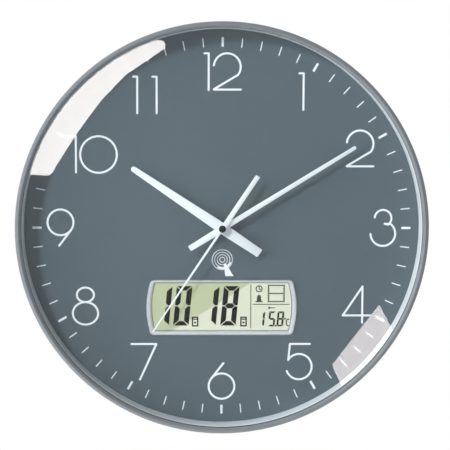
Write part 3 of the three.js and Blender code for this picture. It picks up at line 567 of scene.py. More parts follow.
def rim():
    """The rim: a soft roll that falls away to the side and turns in sharply at the glass."""
    low, high = box_mm("front_bezel")
    glass_low, glass_high = box_mm("front_glass")
    outer, front, skirt_back = high.x, -low.y, -high.y
    sight, skirt = outer - LIP_WIDTH, outer - SKIRT_WALL
    seat, glass_front = glass_high.x, -glass_low.y
    bm = bmesh.new()
    turned(bm, outline_points(
        (outer - 0.1, skirt_back), (outer, skirt_back + 0.4), (outer, front - 3.4),
        arc(outer - 3.1, front - 3.4, 3.1, 3.2, 8, 78, 9),
        (sight + 2.3, front - 0.02), (sight + 1.9, front - 0.12), (sight + 1.6, front - 0.4),
        (sight + 0.25, front - 2.1), (sight, front - 2.4), (sight, glass_front + 0.3),
        (seat, glass_front + 0.3), (seat, glass_front - 3.2), (skirt, glass_front - 3.2),
        (skirt, skirt_back)))
    finished(bm, "rim", CASE, "silver_case", ["front_bezel"])


def case_side():
    """The side wall, rounded at the back and stepped in at the front to fit inside the rim's skirt."""
    low, high = box_mm("case_body")
    rim_high = box_mm("front_bezel")[1]
    wide, rear, front = high.x, -high.y, -low.y
    skirt, skirt_back = rim_high.x - SKIRT_WALL, -rim_high.y
    inner = box_mm("front_glass")[1].x + 0.3
    bm = bmesh.new()
    turned(bm, outline_points(
        (inner, rear), arc(wide - 1.4, rear + 0.8, 0.8, 0.8, -90, -5, 5),
        (wide, skirt_back - 0.6), (wide - 0.3, skirt_back - 0.3), (skirt - 0.3, skirt_back - 0.3),
        (skirt - 0.3, front), (inner, front)))
    finished(bm, "case_side", CASE, "silver_case", ["case_body"])


def inner_ring():
    """The bright ring, with a small foot on the dial and a fine step under the glass."""
    low, high = box_mm("spacer_ring")
    inner, outer, foot, top = high.x - 2.65, high.x, -high.y, -low.y
    bm = bmesh.new()
    turned(bm, outline_points(
        arc(inner + 0.4, foot + 0.4, 0.4, 0.4, 180, 270, 3), (outer, foot), (outer, top),
        (inner + 0.6, top), (inner + 0.45, top - 0.2), (inner + 0.45, top - 1.2), (inner + 0.2, top - 1.5),
        (inner + 0.02, foot + 1.5)))
    finished(bm, "inner_ring", CASE, "bright_ring", ["spacer_ring"])


def gasket():
    """The rubber ring round the glass, with one corner taken off."""
    low, high = box_mm("glass_gasket")
    outer, back, front = high.x, -high.y, -low.y
    bm = bmesh.new()
    turned(bm, [(outer - 2.2, back), (outer, back), (outer, front), (outer - 2.0, front),
                (outer - 2.2, front - 0.2)])
    finished(bm, "gasket", CASE, "black_rubber", ["glass_gasket"])


class CLOCK_OT_case(bpy.types.Operator):
    """Builds the front bezel, the case side, the inner ring and the gasket"""
    bl_idname = "clock.case"
    bl_label = "Case and rim"

    def execute(self, context):
        rim()
        case_side()
        inner_ring()
        gasket()
        return {"FINISHED"}


class CLOCK_OT_glass(bpy.types.Operator):
    """Builds the flat front glass with its ground edge"""
    bl_idname = "clock.glass"
    bl_label = "Front glass"

    def execute(self, context):
        low, high = box_mm("front_glass")
        back, front, radius = -high.y, -low.y, high.x
        bm = bmesh.new()
        turned(bm, [(0, back), (radius - 0.4, back), (radius, back + 0.4), (radius, front - 0.4),
                    (radius - 0.4, front), (0, front)])
        finished(bm, "glass", CASE, "front_glass", ["front_glass"])
        return {"FINISHED"}


# ------------------------------------------------------------------ dial print

# Each numeral is a few pen strokes in a box 31.5 mm high, from its left foot.
NUMERALS = {
    "0": {"rings": [(15.8, 15.8, 15.8, 15.8)]},
    "1": {"strokes": [[(0, 0), (0, 31.4)], [(0, 31.4), (-3.6, 31.4)]]},
    "2": {"strokes": [arc(11.6, 19.5, 11.6, 11.6, 174, -36) + [(0.2, 0.3)], [(0.2, 0), (23.4, 0)]]},
    "3": {"strokes": [arc(11, 24.3, 7.3, 7.3, 175, -52) + [(12.4, 19.5)],
                      [(12.4, 19.5)] + arc(11, 10.8, 10.8, 10.8, 52, -178, 32)]},
    "4": {"strokes": [[(17.3, 32), (17.3, 0)], [(17.3, 32), (0.2, 6.4)], [(0.2, 6.4), (24.2, 6.4)]]},
    "5": {"strokes": [[(3, 31.5), (20.6, 31.5)], [(3, 31.5), (1.6, 17.2)],
                      [(1.6, 17.2)] + arc(11, 11.3, 11.3, 11.3, 142, -160, 32)]},
    "6": {"rings": [(11.3, 11.3, 11.3, 11.3)], "strokes": [[(12.9, 31.8), (2.35, 18.2)]]},
    "7": {"strokes": [[(0, 31.6), (21.8, 31.6)], [(21.8, 31.6), (7.4, 0)]]},
    "8": {"rings": [(11, 9.9, 11, 9.9), (11, 26.2, 7.4, 6.4)]},
    "9": {"rings": [(11.3, 20.4, 11.2, 11.2)], "strokes": [[(10, 0), (20.3, 13.6)]]},
}

# Where each numeral stands on the dial: character, left foot x, foot z.
NUMERAL_PLACES = [
    ("1", -12, 119.4), ("2", -7.6, 119.8), ("1", 70, 102.6), ("2", 108, 53.8), ("3", 129.5, -15.8),
    ("4", 106, -83.6), ("5", 57, -134), ("6", -11.3, -151.3), ("7", -79, -134), ("8", -130, -85.1),
    ("9", -151.5, -15.8), ("1", -126.5, 48), ("0", -122.8, 47.7), ("1", -73.5, 99.2), ("1", -56.8, 99.2),
]


# Overlapping strokes of the dial lie this far above each other, in mm.
INK_LAYER = 0.006


def numerals(back, front):
    """The hour numerals, one glyph after another."""
    width = sizes().numeral_stroke
    bm = bmesh.new()
    for character, left, foot in NUMERAL_PLACES:
        glyph = NUMERALS[character]
        top = front
        for cx, cz, rx, rz in glyph.get("rings", []):
            ring(bm, left + cx, foot + cz, rx, rz, width, back, top)
            top += INK_LAYER
        for path in glyph.get("strokes", []):
            stroke(bm, [(left + u, foot + v) for u, v in path], width, back, top)
            top += INK_LAYER
    finished(bm, "numerals", CASE, "slate_dial", look="dial_ink", merge=False)


def minute_marks(back, front):
    """Sixty marks round the dial, wider at the hours."""
    size = sizes()
    bm = bmesh.new()
    for minute in range(60):
        half = (size.hour_tick_width if minute % 5 == 0 else size.tick_width) / 2
        mark = prism(bm, oblong(-half, half, size.tick_inner, size.tick_outer), back, front)
        turn_by(bm, math.radians(6 * minute), mark)
    finished(bm, "minute_marks", CASE, "slate_dial", look="dial_ink", merge=False)


def signal_symbol(back, front):
    """A generic signal symbol: rings round the top of a plain mast."""
    top = (0.3, -28.0)
    bm = bmesh.new()
    for radius in (2.2, 4.4, 6.6, 8.8):
        ring(bm, *top, radius, radius, 0.72, back, front, count=56)
    finished(bm, "signal_rings", CASE, "slate_dial", look="symbol_ink", merge=False)
    bm = bmesh.new()
    prism(bm, [(1.6, -31.6), (3.0, -42.4), (10.2, -42.4), (3.4, -31.2)], back, front + 2 * INK_LAYER)
    stroke(bm, arc(*top, 7.6, 7.6, -118, -22, 20), 1.3, back, front + 3 * INK_LAYER)
    finished(bm, "signal_mast", CASE, "slate_dial", look="dial_ink", merge=False)


class CLOCK_OT_dial_print(bpy.types.Operator):
    """Prints the numerals, the minute marks and the signal symbol on the dial"""
    bl_idname = "clock.dial_print"
    bl_label = "Dial print"

    def execute(self, context):
        face = -box_mm("dial_plate")[0].y
        ink = (face - 0.05, face + sizes().print_height)
        numerals(*ink)
        minute_marks(*ink)
        signal_symbol(*ink)
        return {"FINISHED"}


# ------------------------------------------------------------------ calendar and temperature window

# Lit bars of a seven-bar digit, named clockwise from the top, then the middle.
SEGMENTS = {"0": "abcdef", "1": "bc", "5": "acdfg", "8": "abcdefg"}
LEAN = math.tan(math.radians(5.5))
# Crossing marks of the window lie this far above each other, in mm.
MARK_LAYER = 0.005


def window_outline(half, low, high, bow, corner):
    """Round-cornered outline whose two ends bow outwards; half is measured at the corners."""
    count = 10
    middle, reach = (low + high) / 2, (high - low) / 2

    def end_x(z):
        return half + bow * (1 - ((z - middle) / reach) ** 2)

    top, bottom = high - corner, low + corner
    right = arc(end_x(top) - corner, top, corner, corner, 88, 4, 6)
    right += [(end_x(z), z) for z in (top + (bottom - top) * i / count for i in range(1, count))]
    right += arc(end_x(bottom) - corner, bottom, corner, corner, -4, -88, 6)
    return right + [(-x, z) for x, z in reversed(right)]


def bezel_loop(inset, inset_top, inset_bottom, corner):
    """The bezel's outline, drawn in at its ends, its top and its bottom."""
    low, high = box_mm("lcd_bezel")
    return window_outline(high.x - 4.2 - inset, low.z + inset_bottom, high.z - inset_top, 4.0 - inset * 0.3,
                          corner)


def window_bezel():
    """The rolled silver bezel, from its foot on the dial over the roll and down to the panel."""
    low, high = box_mm("lcd_bezel")
    foot = 0.1 - box_mm("dial_plate")[0].y
    proud, rear = -low.y, -high.y
    bm = bmesh.new()
    loft(bm, [
        (bezel_loop(0, 0, 0, 4.6), foot), (bezel_loop(0.1, 0.1, 0.1, 4.5), foot + 0.6),
        (bezel_loop(0.6, 0.45, 0.6, 4.2), proud - 0.15), (bezel_loop(1.2, 0.9, 1.3, 3.8), proud),
        (bezel_loop(2.0, 1.4, 2.6, 3.0), proud - 0.05), (bezel_loop(2.6, 1.8, 3.2, 2.6), proud - 0.35),
        (bezel_loop(2.9, 2.0, 3.4, 2.4), proud - 0.9), (bezel_loop(3.3, 2.3, 3.8, 2.0), proud - 0.95),
        (bezel_loop(3.4, 2.4, 3.9, 1.9), rear), (bezel_loop(2.2, 1.2, 2.5, 3.0), rear),
        (bezel_loop(2.0, 1.1, 2.4, 3.0), foot)], close=True)
    finished(bm, "window_bezel", CASE, "bright_ring", ["lcd_bezel"], look="window_silver")


def crystal_panel():
    """The liquid crystal panel that fills the bezel."""
    low, high = box_mm("lcd_glass")
    outline = bezel_loop(3.75, 2.8, 4.3, 1.6)
    bm = bmesh.new()
    loft(bm, [(outline, -high.y), (outline, -low.y)], capped=True)
    finished(bm, "crystal_panel", CASE, "lcd_panel", ["lcd_glass"])


def digit(bm, character, left, foot, width, height, bar, slit, back, front):
    """A seven-bar digit that leans to the right."""
    middle, point, half_slit, mitre = height / 2, bar / 2, slit / 2, bar - slit
    bars = {
        "a": [(slit, height), (width - slit, height), (width - bar - half_slit, height - mitre),
              (bar + half_slit, height - mitre)],
        "d": [(bar + half_slit, mitre), (width - bar - half_slit, mitre), (width - slit, 0), (slit, 0)],
        "g": [(bar + half_slit, middle + point), (width - bar - half_slit, middle + point),
              (width - point - half_slit, middle), (width - bar - half_slit, middle - point),
              (bar + half_slit, middle - point), (point + half_slit, middle)],
        "b": [(width, height - slit), (width, middle + slit), (width - point, middle + half_slit),
              (width - bar, middle + point + half_slit), (width - bar, height - bar)],
        "c": [(width, slit), (width, middle - slit), (width - point, middle - half_slit),
              (width - bar, middle - point - half_slit), (width - bar, bar)],
        "e": [(0, slit), (0, middle - slit), (point, middle - half_slit),
              (bar, middle - point - half_slit), (bar, bar)],
        "f": [(0, height - slit), (0, middle + slit), (point, middle + half_slit),
              (bar, middle + point + half_slit), (bar, height - bar)],
    }
    for name in SEGMENTS[character]:
        prism(bm, [(left + u + v * LEAN, foot + v) for u, v in bars[name]], back, front)


def window_digits(back, front):
    """Large digits of the date, small ones of the temperature with a point between them."""
    bm = bmesh.new()
    for character, left in (("1", -59.9), ("0", -42.6), ("1", -18.8), ("8", -1.4)):
        digit(bm, character, left, -86.0, 13.6, 34.8, 4.5, 0.6, back, front)
    for character, left in (("1", 31.0), ("5", 40.4), ("8", 47.8)):
        digit(bm, character, left, -86.8, 5.9, 13.2, 1.7, 0.25, back, front)
    prism(bm, oval(47.3, -86.3, 0.7, 0.7, 12), back, front)
    finished(bm, "digits", CASE, "lcd_panel", look="segment", merge=False)


def dot_figure(bm, left, top, back, front):
    """A figure eight of dot-matrix marks, nine wide and eleven high."""
    pitch_x, pitch_z, wide, high = 1.7, 1.43, 1.35, 1.15
    full, sides = "#########", "#.......#"
    for r, row in enumerate([full, *[sides] * 4, full, *[sides] * 4, full]):
        for c, mark in enumerate(row):
            if mark == "#":
                x, z = left + c * pitch_x, top - r * pitch_z
                prism(bm, oblong(x, x + wide, z - high, z), back, front)


def calendar_leaf(bm, left, foot, back, front):
    """A small calendar leaf: a frame, a line under its top and a mark in the middle."""
    right, top = left + 4.6, foot + 7.6
    for side in ([(left, foot), (left, top)], [(right, foot), (right, top)],
                 [(left, top), (right, top)], [(left, foot), (right, foot)]):
        stroke(bm, side, 1.15, back, front)
    stroke(bm, [(left, foot + 5.9), (right, foot + 5.9)], 1.0, back, front + MARK_LAYER)
    stroke(bm, [(left + 1.9, foot + 2.9), (left + 2.7, foot + 2.9)], 1.3, back, front + MARK_LAYER)


def window_symbols(back, front):
    """Degree sign with its letter, a dot-matrix figure, and leaves beside the month and the day."""
    bm = bmesh.new()
    ring(bm, 55.4, -80.0, 0.7, 0.7, 0.6, back, front, count=20)
    stroke(bm, arc(58.2, -83.4, 1.6, 3.0, 70, 290, 14), 0.95, back, front)
    dot_figure(bm, 40.2, -50.0, back, front)
    for left in (-25.6, 16.8):
        calendar_leaf(bm, left, -86.3, back, front)
    finished(bm, "window_symbols", CASE, "lcd_panel", look="segment", merge=False)


def window_lines(back, front):
    """Thin lines between the fields, a small clock over a bell, and a thermometer."""
    bm = bmesh.new()
    stroke(bm, [(25.4, -88.2), (25.4, -49.8)], 0.7, back, front)
    stroke(bm, [(27.4, -67.3), (59.0, -67.3)], 0.7, back, front)
    clock = (32.6, -53.6)
    ring(bm, *clock, 2.6, 2.6, 0.95, back, front, count=28)
    stroke(bm, [(32.6, -51.9), clock], 0.8, back, front + MARK_LAYER)
    stroke(bm, [clock, (33.9, -54.4)], 0.8, back, front + 2 * MARK_LAYER)
    bell = [(30.5, -64.4), *arc(32.6, -61.0, 1.7, 2.2, 180, 0, 12), (34.7, -64.4)]
    stroke(bm, [(29.9, -64.9), (35.3, -64.9)], 1.0, back, front)
    prism(bm, bell, back, front + MARK_LAYER)
    stroke(bm, [(42.2, -70.4), (46.4, -70.4)], 0.7, back, front)
    ring(bm, 41.6, -70.4, 0.6, 0.6, 0.8, back, front + MARK_LAYER, count=16)
    finished(bm, "window_lines", CASE, "lcd_panel", look="window_print", merge=False)


class CLOCK_OT_window(bpy.types.Operator):
    """Builds the calendar window: bezel, liquid crystal panel and its characters"""
    bl_idname = "clock.window"
    bl_label = "Calendar window"

    def execute(self, context):
        window_bezel()
        crystal_panel()
        face = -box_mm("lcd_glass")[0].y
        film = (face - 0.02, face + 0.04)
        window_digits(*film)
        window_symbols(*film)
        window_lines(*film)
        return {"FINISHED"}


# ------------------------------------------------------------------ hands

BATON_THICK = 0.5


def hand_outline(length, tail, root, tip, tail_root, tail_tip):
    """A tapered baton pointing to 12, with a round tip and a square tail."""
    end = length - tip / 2
    right = [(tail_tip / 2, -tail), (tail_root / 2, 0)]
    left = []
    if root != tail_root:
        right.append((root / 2, 0.01))
        left.append((-root / 2, 0.01))
    right += arc(0, end, tip / 2, tip / 2, 0, 180, 12)
    return right + left + [(-tail_root / 2, 0), (-tail_tip / 2, -tail)]


def hand(name, angle, shape, collar):
    """A baton with the pressed collar that grips its arbor. The second hand also has a round boss."""
    low, high = box_mm(f"{name}_hand")
    front, collar_end = -low.y, -high.y
    back = front - BATON_THICK
    bm = bmesh.new()
    prism(bm, hand_outline(*shape), back, front - 0.02)
    soften(bm, 0.14, 30)
    turn_by(bm, angle, bm.verts)
    turned(bm, [(0, front - 0.03), (collar, front - 0.03), (collar, collar_end + 0.2),
                (collar - 0.2, collar_end), (0, collar_end)], 48)
    if name == "second":
        turned(bm, [(0, front), (3.6, front), (3.9, front - 0.15), (3.9, back), (0, back)], 64)
    finished(bm, f"{name}_baton", f"{name}_set", "hand_lacquer", [f"{name}_hand"], merge=False)


def arbor_cap():
    """The domed black cap over the end of the arbor."""
    low, high = box_mm("hub_cap")
    back, front, radius = -high.y, -low.y, high.x
    dome = arc(0, back + 0.35, radius - 0.05, front - back - 0.35, 0, 90, 10)
    bm = bmesh.new()
    turned(bm, [(0, back), (radius, back), *dome[:-1], (0, front)], 64)
    finished(bm, "arbor_cap", "second_set", "black_plastic", ["hub_cap"])


class CLOCK_OT_hands(bpy.types.Operator):
    """Builds the three hands and the cap over their arbor"""
    bl_idname = "clock.hands"
    bl_label = "Hands"

    def execute(self, context):
        size = sizes()
        # each shape: length, tail, then the widths at the root, the tip, the tail's root and its end
        hand("hour", size.hour_angle, (94.3, 39.4, 9.4, 4.8, 9.4, 7.6), collar=4.1)
        hand("minute", size.minute_angle, (135.2, 33.2, 4.7, 3.1, 6.0, 4.9), collar=2.9)
        hand("second", size.second_angle, (108.4, 55.0, 2.1, 1.2, 4.3, 4.1), collar=1.6)
        arbor_cap()
        return {"FINISHED"}


# ------------------------------------------------------------------ back

# The cover has a raised pad in the middle, a sunk channel round it and a raised border.
COVER_THICK = 4.0
PAD_RADIUS = 60.0
BORDER_RADIUS = 158.0
CHANNEL_DEPTH = 1.6
# The keyhole has a round entry with a narrower slot above it.
ENTRY_RADIUS = 5.0
ENTRY_Z = 112.0
SLOT_RADIUS = 2.6
SLOT_Z = 122.0
# Cutters start clear of the back, and those that pass right through end clear of the cover's inside.
OUTSIDE = -1
INSIDE = COVER_THICK + 1

BUTTONS = range(1, 5)
SCREWS = range(1, 7)


def cover_blank():
    """The turned cover before it is cut, with two low rings in the channel."""
    radius, deep = box_mm("back_cover")[1].x, CHANNEL_DEPTH
    bm = bmesh.new()
    turned(bm, [
        (0, 0), (PAD_RADIUS - 0.6, 0), (PAD_RADIUS, 0.3), (PAD_RADIUS + 1.4, deep),
        (84, deep), (84.4, deep - 0.5), (86, deep - 0.5), (86.4, deep),
        (128, deep), (128.4, deep - 0.5), (130, deep - 0.5), (130.4, deep),
        (BORDER_RADIUS - 1.4, deep), (BORDER_RADIUS, 0.3), (BORDER_RADIUS + 0.6, 0),
        (radius - 1, 0), (radius, 0.8), (radius, COVER_THICK), (0, COVER_THICK)])
    return finished(bm, "cover", CASE, "dark_plastic", ["back_cover"])


def bay_cutter():
    """The opening for the battery door, with a finger notch over it."""
    low, high = box_mm("battery_door")
    hinge_z = middle_mm("door_hinge_pin").z
    bm = bmesh.new()
    prism(bm, rounded_box(low.x - 0.3, high.x + 0.3, hinge_z - 2.4, high.z + 0.3, 1.2), OUTSIDE, INSIDE)
    prism(bm, rounded_box(-9, 9, high.z - 2, high.z + 5.5, 3), OUTSIDE, CHANNEL_DEPTH + 1.2)
    return placed(bm, "bay")


def keyhole_cutter():
    """The keyhole, as one outline."""
    half = math.degrees(math.asin(SLOT_RADIUS / ENTRY_RADIUS))
    entry = arc(0, ENTRY_Z, ENTRY_RADIUS, ENTRY_RADIUS, 90 + half, 450 - half, 32)
    slot = arc(0, SLOT_Z, SLOT_RADIUS, SLOT_RADIUS, 0, 180, 16)
    bm = bmesh.new()
    prism(bm, entry + slot, OUTSIDE, INSIDE)
    return placed(bm, "keyhole")


def hole_cutter():
    """Stepped holes for the buttons and the screws, and five slots over the temperature sensor."""
    bm = bmesh.new()
    for i in BUTTONS:
        centre = middle_mm(f"push_button_{i}")
        turned(bm, [(0, OUTSIDE), (4.6, OUTSIDE), (4.6, CHANNEL_DEPTH + 0.4), (3.5, CHANNEL_DEPTH + 0.9),
                    (3.5, INSIDE), (0, INSIDE)], 40, centre.x, centre.z)
    for i in SCREWS:
        centre = middle_mm(f"case_screw_{i}")
        turned(bm, [(0, OUTSIDE), (3.9, OUTSIDE), (3.9, 0.05), (3.45, 0.4), (3.45, 2.4), (1.9, 2.4),
                    (1.9, INSIDE), (0, INSIDE)], 32, centre.x, centre.z)
    sensor = middle_mm("temperature_sensor")
    for i in range(-2, 3):
        x = sensor.x + i * 4
        prism(bm, rounded_box(x - 0.8, x + 0.8, sensor.z - 6, sensor.z + 6, 0.75), OUTSIDE, INSIDE)
    return placed(bm, "holes")


def plate_cutter():
    """A shallow bare recess in the middle of the pad."""
    bm = bmesh.new()
    prism(bm, rounded_box(-38, 38, -22, 22, 4), OUTSIDE, 0.45)
    return placed(bm, "plate_recess")


def mark_cutter():
    """An arrow over the keyhole; over the buttons a dot, a minus, a plus and an arrow."""
    sunk = CHANNEL_DEPTH + 0.5
    bm = bmesh.new()
    prism(bm, [(-4, 136.5), (4, 136.5), (0, 143.5)], OUTSIDE, sunk)
    for i in BUTTONS:
        centre = middle_mm(f"push_button_{i}")
        x, z = centre.x, centre.z + 8.6
        if i == 1:
            prism(bm, oval(x, z, 1.6, 1.6, 12), OUTSIDE, sunk)
        elif i == 4:
            prism(bm, [(x - 1.9, z - 1.6), (x + 1.9, z - 1.6), (x, z + 1.9)], OUTSIDE, sunk)
        else:
            stroke(bm, [(x - 2, z), (x + 2, z)], 0.9, OUTSIDE, sunk)
        if i == 3:
            stroke(bm, [(x, z - 2), (x, z + 2)], 0.9, OUTSIDE, sunk - 0.05)
    return placed(bm, "marks")


def cover_ribs():
    """A raised ring round the keyhole and stiffening ribs across the channel."""
    bm = bmesh.new()
    ring(bm, 0, (ENTRY_Z + SLOT_Z) / 2, 11, 16, 1.6, CHANNEL_DEPTH - 0.75, CHANNEL_DEPTH + 0.3)
    for spoke in range(24):
        degrees = 15 * spoke + 7.5
        # in the lower third the ribs are short and keep to the outer part of the channel
        start, end = (88, 126) if abs(degrees - 180) > 60 else (132, 155)
        rib = prism(bm, oblong(-0.7, 0.7, start, end), CHANNEL_DEPTH - 0.6, CHANNEL_DEPTH + 0.3)
        turn_by(bm, math.radians(degrees), rib)
    finished(bm, "cover_ribs", CASE, "dark_plastic", merge=False)


def tube_along_x(bm, radius, bore, x0, x1, depth, z):
    """A tube along X, such as the hinge's barrel."""
    steps = 32
    outer, inner = oval(0, 0, radius, radius, steps), oval(0, 0, bore, bore, steps)
    known = set(bm.verts)
    loft(bm, [(outer, x0), (outer, x1), (inner, x1), (inner, x0)], close=True)
    fresh = [v for v in bm.verts if v not in known]
    bmesh.ops.rotate(bm, verts=fresh, cent=(0, 0, 0), matrix=Matrix.Rotation(math.radians(90), 3, "Z"))
    bmesh.ops.translate(bm, verts=fresh, vec=(0, -depth, z))


def door_lid():
    """The battery door: a panel with grip lines, its hinge leaf and its barrel."""
    low, high = box_mm("battery_door")
    hinge = middle_mm("door_hinge_pin")
    back, front = CHANNEL_DEPTH, CHANNEL_DEPTH + 1.8
    leaf_start, leaf_end = low.x + 4, high.x - 4
    bm = bmesh.new()
    prism(bm, rounded_box(low.x, high.x, hinge.z + 1.7, high.z, 1.0), back, front)
    for i in range(5):
        z = high.z - 3.2 - i * 1.7
        prism(bm, rounded_box(-8, 8, z - 0.35, z + 0.35, 0.3), back - 0.35, back + 0.2)
    soften(bm, 0.15, 50)
    tube_along_x(bm, 1.8, 1.0, leaf_start, leaf_end, -hinge.y, hinge.z)
    prism(bm, oblong(leaf_start, leaf_end, hinge.z + 1.25, hinge.z + 3), back + 0.5, front)
    finished(bm, "lid", "battery_lid", "dark_plastic", ["battery_door"], merge=False)


def button_cap(i):
    """A dished button with a flange behind the cover and a stem that reaches its switch."""
    low, high = box_mm(f"push_button_{i}")
    centre, top, end = middle_mm(f"push_button_{i}"), -high.y, -low.y
    bm = bmesh.new()
    turned(bm, [(0, top + 0.25), (1.5, top + 0.1), (2.7, top), (3.1, top + 0.25), (3.2, top + 0.6),
                (3.2, 4.3), (4.4, 4.3), (4.4, 5.3), (2, 5.3), (2, end), (0, end)], 40, centre.x, centre.z)
    finished(bm, f"button_cap_{i}", f"button_{i}", "black_plastic", [f"push_button_{i}"])


def case_screw(i):
    """A pan-head screw with a cross recess, each one stopped at its own angle."""
    low, high = box_mm(f"case_screw_{i}")
    centre, head, tip = middle_mm(f"case_screw_{i}"), -high.y, -low.y
    bm = bmesh.new()
    turned(bm, [(0, head), (1.6, head + 0.05), (2.6, head + 0.35), (3.0, head + 0.9), (3.1, head + 1.7),
                (1.25, head + 1.7), (1.25, tip - 0.8), (0, tip)], 32)
    piece = finished(bm, f"screw_{i}", CASE, "zinc_steel", [f"case_screw_{i}"])
    bm = bmesh.new()
    for quarter in (0, 1):
        arm = prism(bm, oblong(-0.33, 0.33, -1.7, 1.7), head - 1, head + 1.05 + 0.02 * quarter)
        turn_by(bm, math.radians(90 * quarter + 25 * i), arm)
    cut_with(piece, [placed(bm, f"screw_{i}_cross")])
    piece.data.transform(Matrix.Translation((centre.x * MM, 0, centre.z * MM)))


class CLOCK_OT_back(bpy.types.Operator):
    """Builds the back cover, the battery door, the buttons and the screws"""
    bl_idname = "clock.back"
    bl_label = "Back"

    def execute(self, context):
        openings = [bay_cutter(), keyhole_cutter(), hole_cutter(), plate_cutter(), mark_cutter()]
        cut_with(cover_blank(), openings)
        cover_ribs()
        door_lid()
        for i in BUTTONS:
            button_cap(i)
        for i in SCREWS:
            case_screw(i)
        return {"FINISHED"}


# ------------------------------------------------------------------ finishes of the carried-over nodes

class CLOCK_OT_inner_finishes(bpy.types.Operator):
    """Gives every CAD piece its finish"""
    bl_idname = "clock.inner_finishes"
    bl_label = "Inner pieces"

    def execute(self, context):
        for part in frame["record"]["subparts"]:
            piece = NODES[part["node"]]
            piece.data.materials.clear()
            piece.data.materials.append(finish(part["material_slot"]))
        return {"FINISHED"}


# ------------------------------------------------------------------ stage, in metres

# The camera stands a little left of the dial's axis and above it.
CAMERA_TARGET = Vector((0.00259, -0.022, 0.00235))
CAMERA_AZIMUTH = math.radians(-1.61)
CAMERA_ELEVATION = math.radians(5.64)
CAMERA_ROLL = math.radians(0.215)
CAMERA_DISTANCE = 1.280
CAMERA_LENS = 117.6
CAMERA_SENSOR = 36.0

# How far the glowing cards stand in front of the glass.
CARD_REACH = 1.0


def camera_frame():
    """The camera's right, up and back directions, and its place."""
    a, e, r = CAMERA_AZIMUTH, CAMERA_ELEVATION, CAMERA_ROLL
    back = Vector((math.sin(a) * math.cos(e), -math.cos(a) * math.cos(e), math.sin(e)))
    right = Vector((math.cos(a), math.sin(a), 0))
    up = back.cross(right)
    turned_right = right * math.cos(r) + up * math.sin(r)
    turned_up = up * math.cos(r) - right * math.sin(r)
    return turned_right, turned_up, back, CAMERA_TARGET + back * CAMERA_DISTANCE


def stand_camera(scene):
    """Adds the camera and makes it the scene's own."""
    right, up, back, place = camera_frame()
    data = bpy.data.cameras.new("camera")
    data.lens = CAMERA_LENS
    data.sensor_width = CAMERA_SENSOR
    camera = bpy.data.objects.new("camera", data)
    scene.collection.objects.link(camera)
    camera.matrix_world = Matrix.Translation(place) @ Matrix((right, up, back)).transposed().to_4x4()
    scene.camera = camera


def pale_room(scene):
    """White to the camera, and a soft even light on the clock."""
    world = bpy.data.worlds.new("pale_room")
    world.use_nodes = True
    tree = world.node_tree
    tree.nodes.clear()
    out = put(tree, "ShaderNodeOutputWorld")
    ray = put(tree, "ShaderNodeLightPath")
    seen = put(tree, "ShaderNodeMath", {
        0: ray.outputs["Is Camera Ray"], 1: ray.outputs["Is Transmission Ray"]}, operation="MAXIMUM")
    soft = put(tree, "ShaderNodeBackground", {"Color": linear("#f6f8fb"), "Strength": 0.27})
    white = put(tree, "ShaderNodeBackground", {"Color": (1, 1, 1, 1), "Strength": 1.0})
    # a dark patch straight ahead keeps the flat glass clear, while curved rims mirror bright walls
    way = put(tree, "ShaderNodeTexCoord")
    parts = put(tree, "ShaderNodeSeparateXYZ", {0: way.outputs["Generated"]})
    aside = put(tree, "ShaderNodeMapRange", {
        "Value": parts.outputs["Y"], "From Min": -0.94, "From Max": -0.7, "To Min": 0.02, "To Max": 0.8})
    mirrored = put(tree, "ShaderNodeBackground", {
        "Color": linear("#f2f5f8"), "Strength": aside.outputs["Result"]})
    plain = put(tree, "ShaderNodeMixShader", {
        0: ray.outputs["Is Glossy Ray"], 1: soft.outputs["Background"], 2: mirrored.outputs["Background"]})
    mixed = put(tree, "ShaderNodeMixShader", {
        0: seen.outputs["Value"], 1: plain.outputs["Shader"], 2: white.outputs["Background"]})
    tree.links.new(mixed.outputs["Shader"], out.inputs["Surface"])
    scene.world = world


def staged(bm, name, look):
    """Adds a mesh in metres to the scene, with one material."""
    mesh = bpy.data.meshes.new(name)
    bm.to_mesh(mesh)
    bm.free()
    mesh.materials.append(look)
    made = bpy.data.objects.new(name, mesh)
    bpy.context.scene.collection.objects.link(made)
    return made


def pale_floor():
    """A floor well under the clock."""
    bm = bmesh.new()
    bmesh.ops.create_grid(bm, x_segments=4, y_segments=4, size=1.0)
    bmesh.ops.translate(bm, verts=bm.verts, vec=(0, 0, -0.5))
    staged(bm, "floor", surface("pale_floor", linear("#eceef0"), 0.7, 3.0, tint=0.01, bump_mm=0.01))


def soft_lamp(name, place, size, watts):
    """A round lamp aimed at the clock, which lights it but isn't mirrored in it."""
    data = bpy.data.lights.new(name, "AREA")
    data.shape = "DISK"
    data.size = size
    data.energy = watts
    lamp = bpy.data.objects.new(name, data)
    bpy.context.scene.collection.objects.link(lamp)
    aim = (-Vector(place)).to_track_quat("-Z", "Y").to_matrix().to_4x4()
    lamp.matrix_world = Matrix.Translation(place) @ aim
    lamp.visible_glossy = False
    lamp.visible_camera = False


def reflection_card(name, corners, strength, tint):
    """A glowing card that shows in the glass where the corners lie on it, in mm of the dial's plane."""
    eye = camera_frame()[3]
    plane = -box_mm("front_glass")[1].y * MM
    spread = CARD_REACH / (-eye.y - plane)
    bm = bmesh.new()
    points = [(x * MM, z * MM) for x, z in corners]
    bm.faces.new([
        bm.verts.new((x + (x - eye.x) * spread, -plane - CARD_REACH, z + (z - eye.z) * spread))
        for x, z in points])
    glow, tree, out = material(name)
    light = put(tree, "ShaderNodeEmission", {"Color": linear(tint), "Strength": strength})
    tree.links.new(light.outputs["Emission"], out.inputs["Surface"])
    card = staged(bm, name, glow)
    card.visible_camera = False
    card.visible_diffuse = False
    card.visible_shadow = False


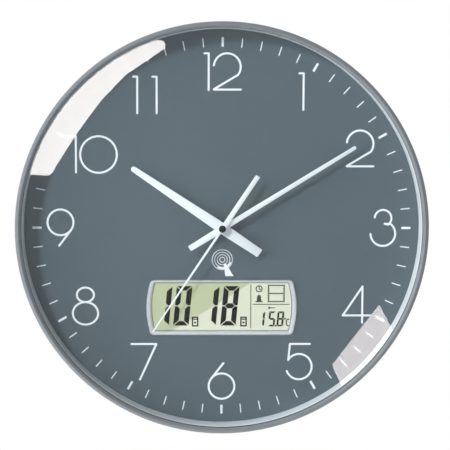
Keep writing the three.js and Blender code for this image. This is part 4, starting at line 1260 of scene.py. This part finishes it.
class CLOCK_OT_stage(bpy.types.Operator):
    """Adds the camera, the lamps, the floor and the pale surroundings"""
    bl_idname = "clock.stage"
    bl_label = "Stage"

    def execute(self, context):
        scene = bpy.context.scene
        scene.view_settings.view_transform = "Standard"
        stand_camera(scene)
        pale_room(scene)
        pale_floor()
        soft_lamp("key", (-1.2, -1.6, 1.0), size=0.34, watts=36)
        soft_lamp("side", (-2.1, -0.62, 0.35), size=0.9, watts=34)
        soft_lamp("back_light", (0.7, 1.6, 1.0), size=1.2, watts=45)
        # a bright window mirrored at the upper left of the glass, and a smaller one at its lower right
        reflection_card("window_reflection", arc(0, 0, 171, 171, 164, 109, 20) + [
            (-50.5, 160.5), (-48.5, 157.5), (-50, 154), (-62.5, 145.5), (-82, 132.5), (-103, 111),
            (-124, 82.5), (-142, 54.5), (-144.5, 49.5), (-148, 46.5)], 12.2, "#fffaf7")
        reflection_card("low_reflection", [(135.6, -64.7)] + arc(0, 0, 171, 171, -30.5, -52.5, 12) + [
            (98, -124), (95.5, -117), (116, -90)], 7.3, "#fff2f1")
        return {"FINISHED"}


# ------------------------------------------------------------------ panel and registration

STEPS = (CLOCK_OT_inner_finishes, CLOCK_OT_case, CLOCK_OT_glass, CLOCK_OT_dial_print, CLOCK_OT_window,
         CLOCK_OT_hands, CLOCK_OT_back, CLOCK_OT_stage)


class CLOCK_PT_panel(bpy.types.Panel):
    """Lists the clock's building steps"""
    bl_idname = "CLOCK_PT_panel"
    bl_label = "Wall Clock"
    bl_space_type = "VIEW_3D"
    bl_region_type = "UI"
    bl_category = "Wall Clock"

    def draw(self, context):
        for step in STEPS:
            self.layout.operator(step.bl_idname)


CLASSES = (ClockSizes, ClockColours, *STEPS, CLOCK_PT_panel)


def register():
    for item in CLASSES:
        bpy.utils.register_class(item)
    bpy.types.Scene.clock_sizes = bpy.props.PointerProperty(type=ClockSizes)
    bpy.types.Scene.clock_colours = bpy.props.PointerProperty(type=ClockColours)


def unregister():
    del bpy.types.Scene.clock_colours
    del bpy.types.Scene.clock_sizes
    for item in reversed(CLASSES):
        bpy.utils.unregister_class(item)


def main():
    """Builds the clock."""
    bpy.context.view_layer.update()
    register()
    bpy.ops.clock.inner_finishes()
    bpy.ops.clock.case()
    bpy.ops.clock.glass()
    bpy.ops.clock.dial_print()
    bpy.ops.clock.window()
    bpy.ops.clock.hands()
    bpy.ops.clock.back()
    bpy.ops.clock.stage()


if __name__ == "__main__":
    main()
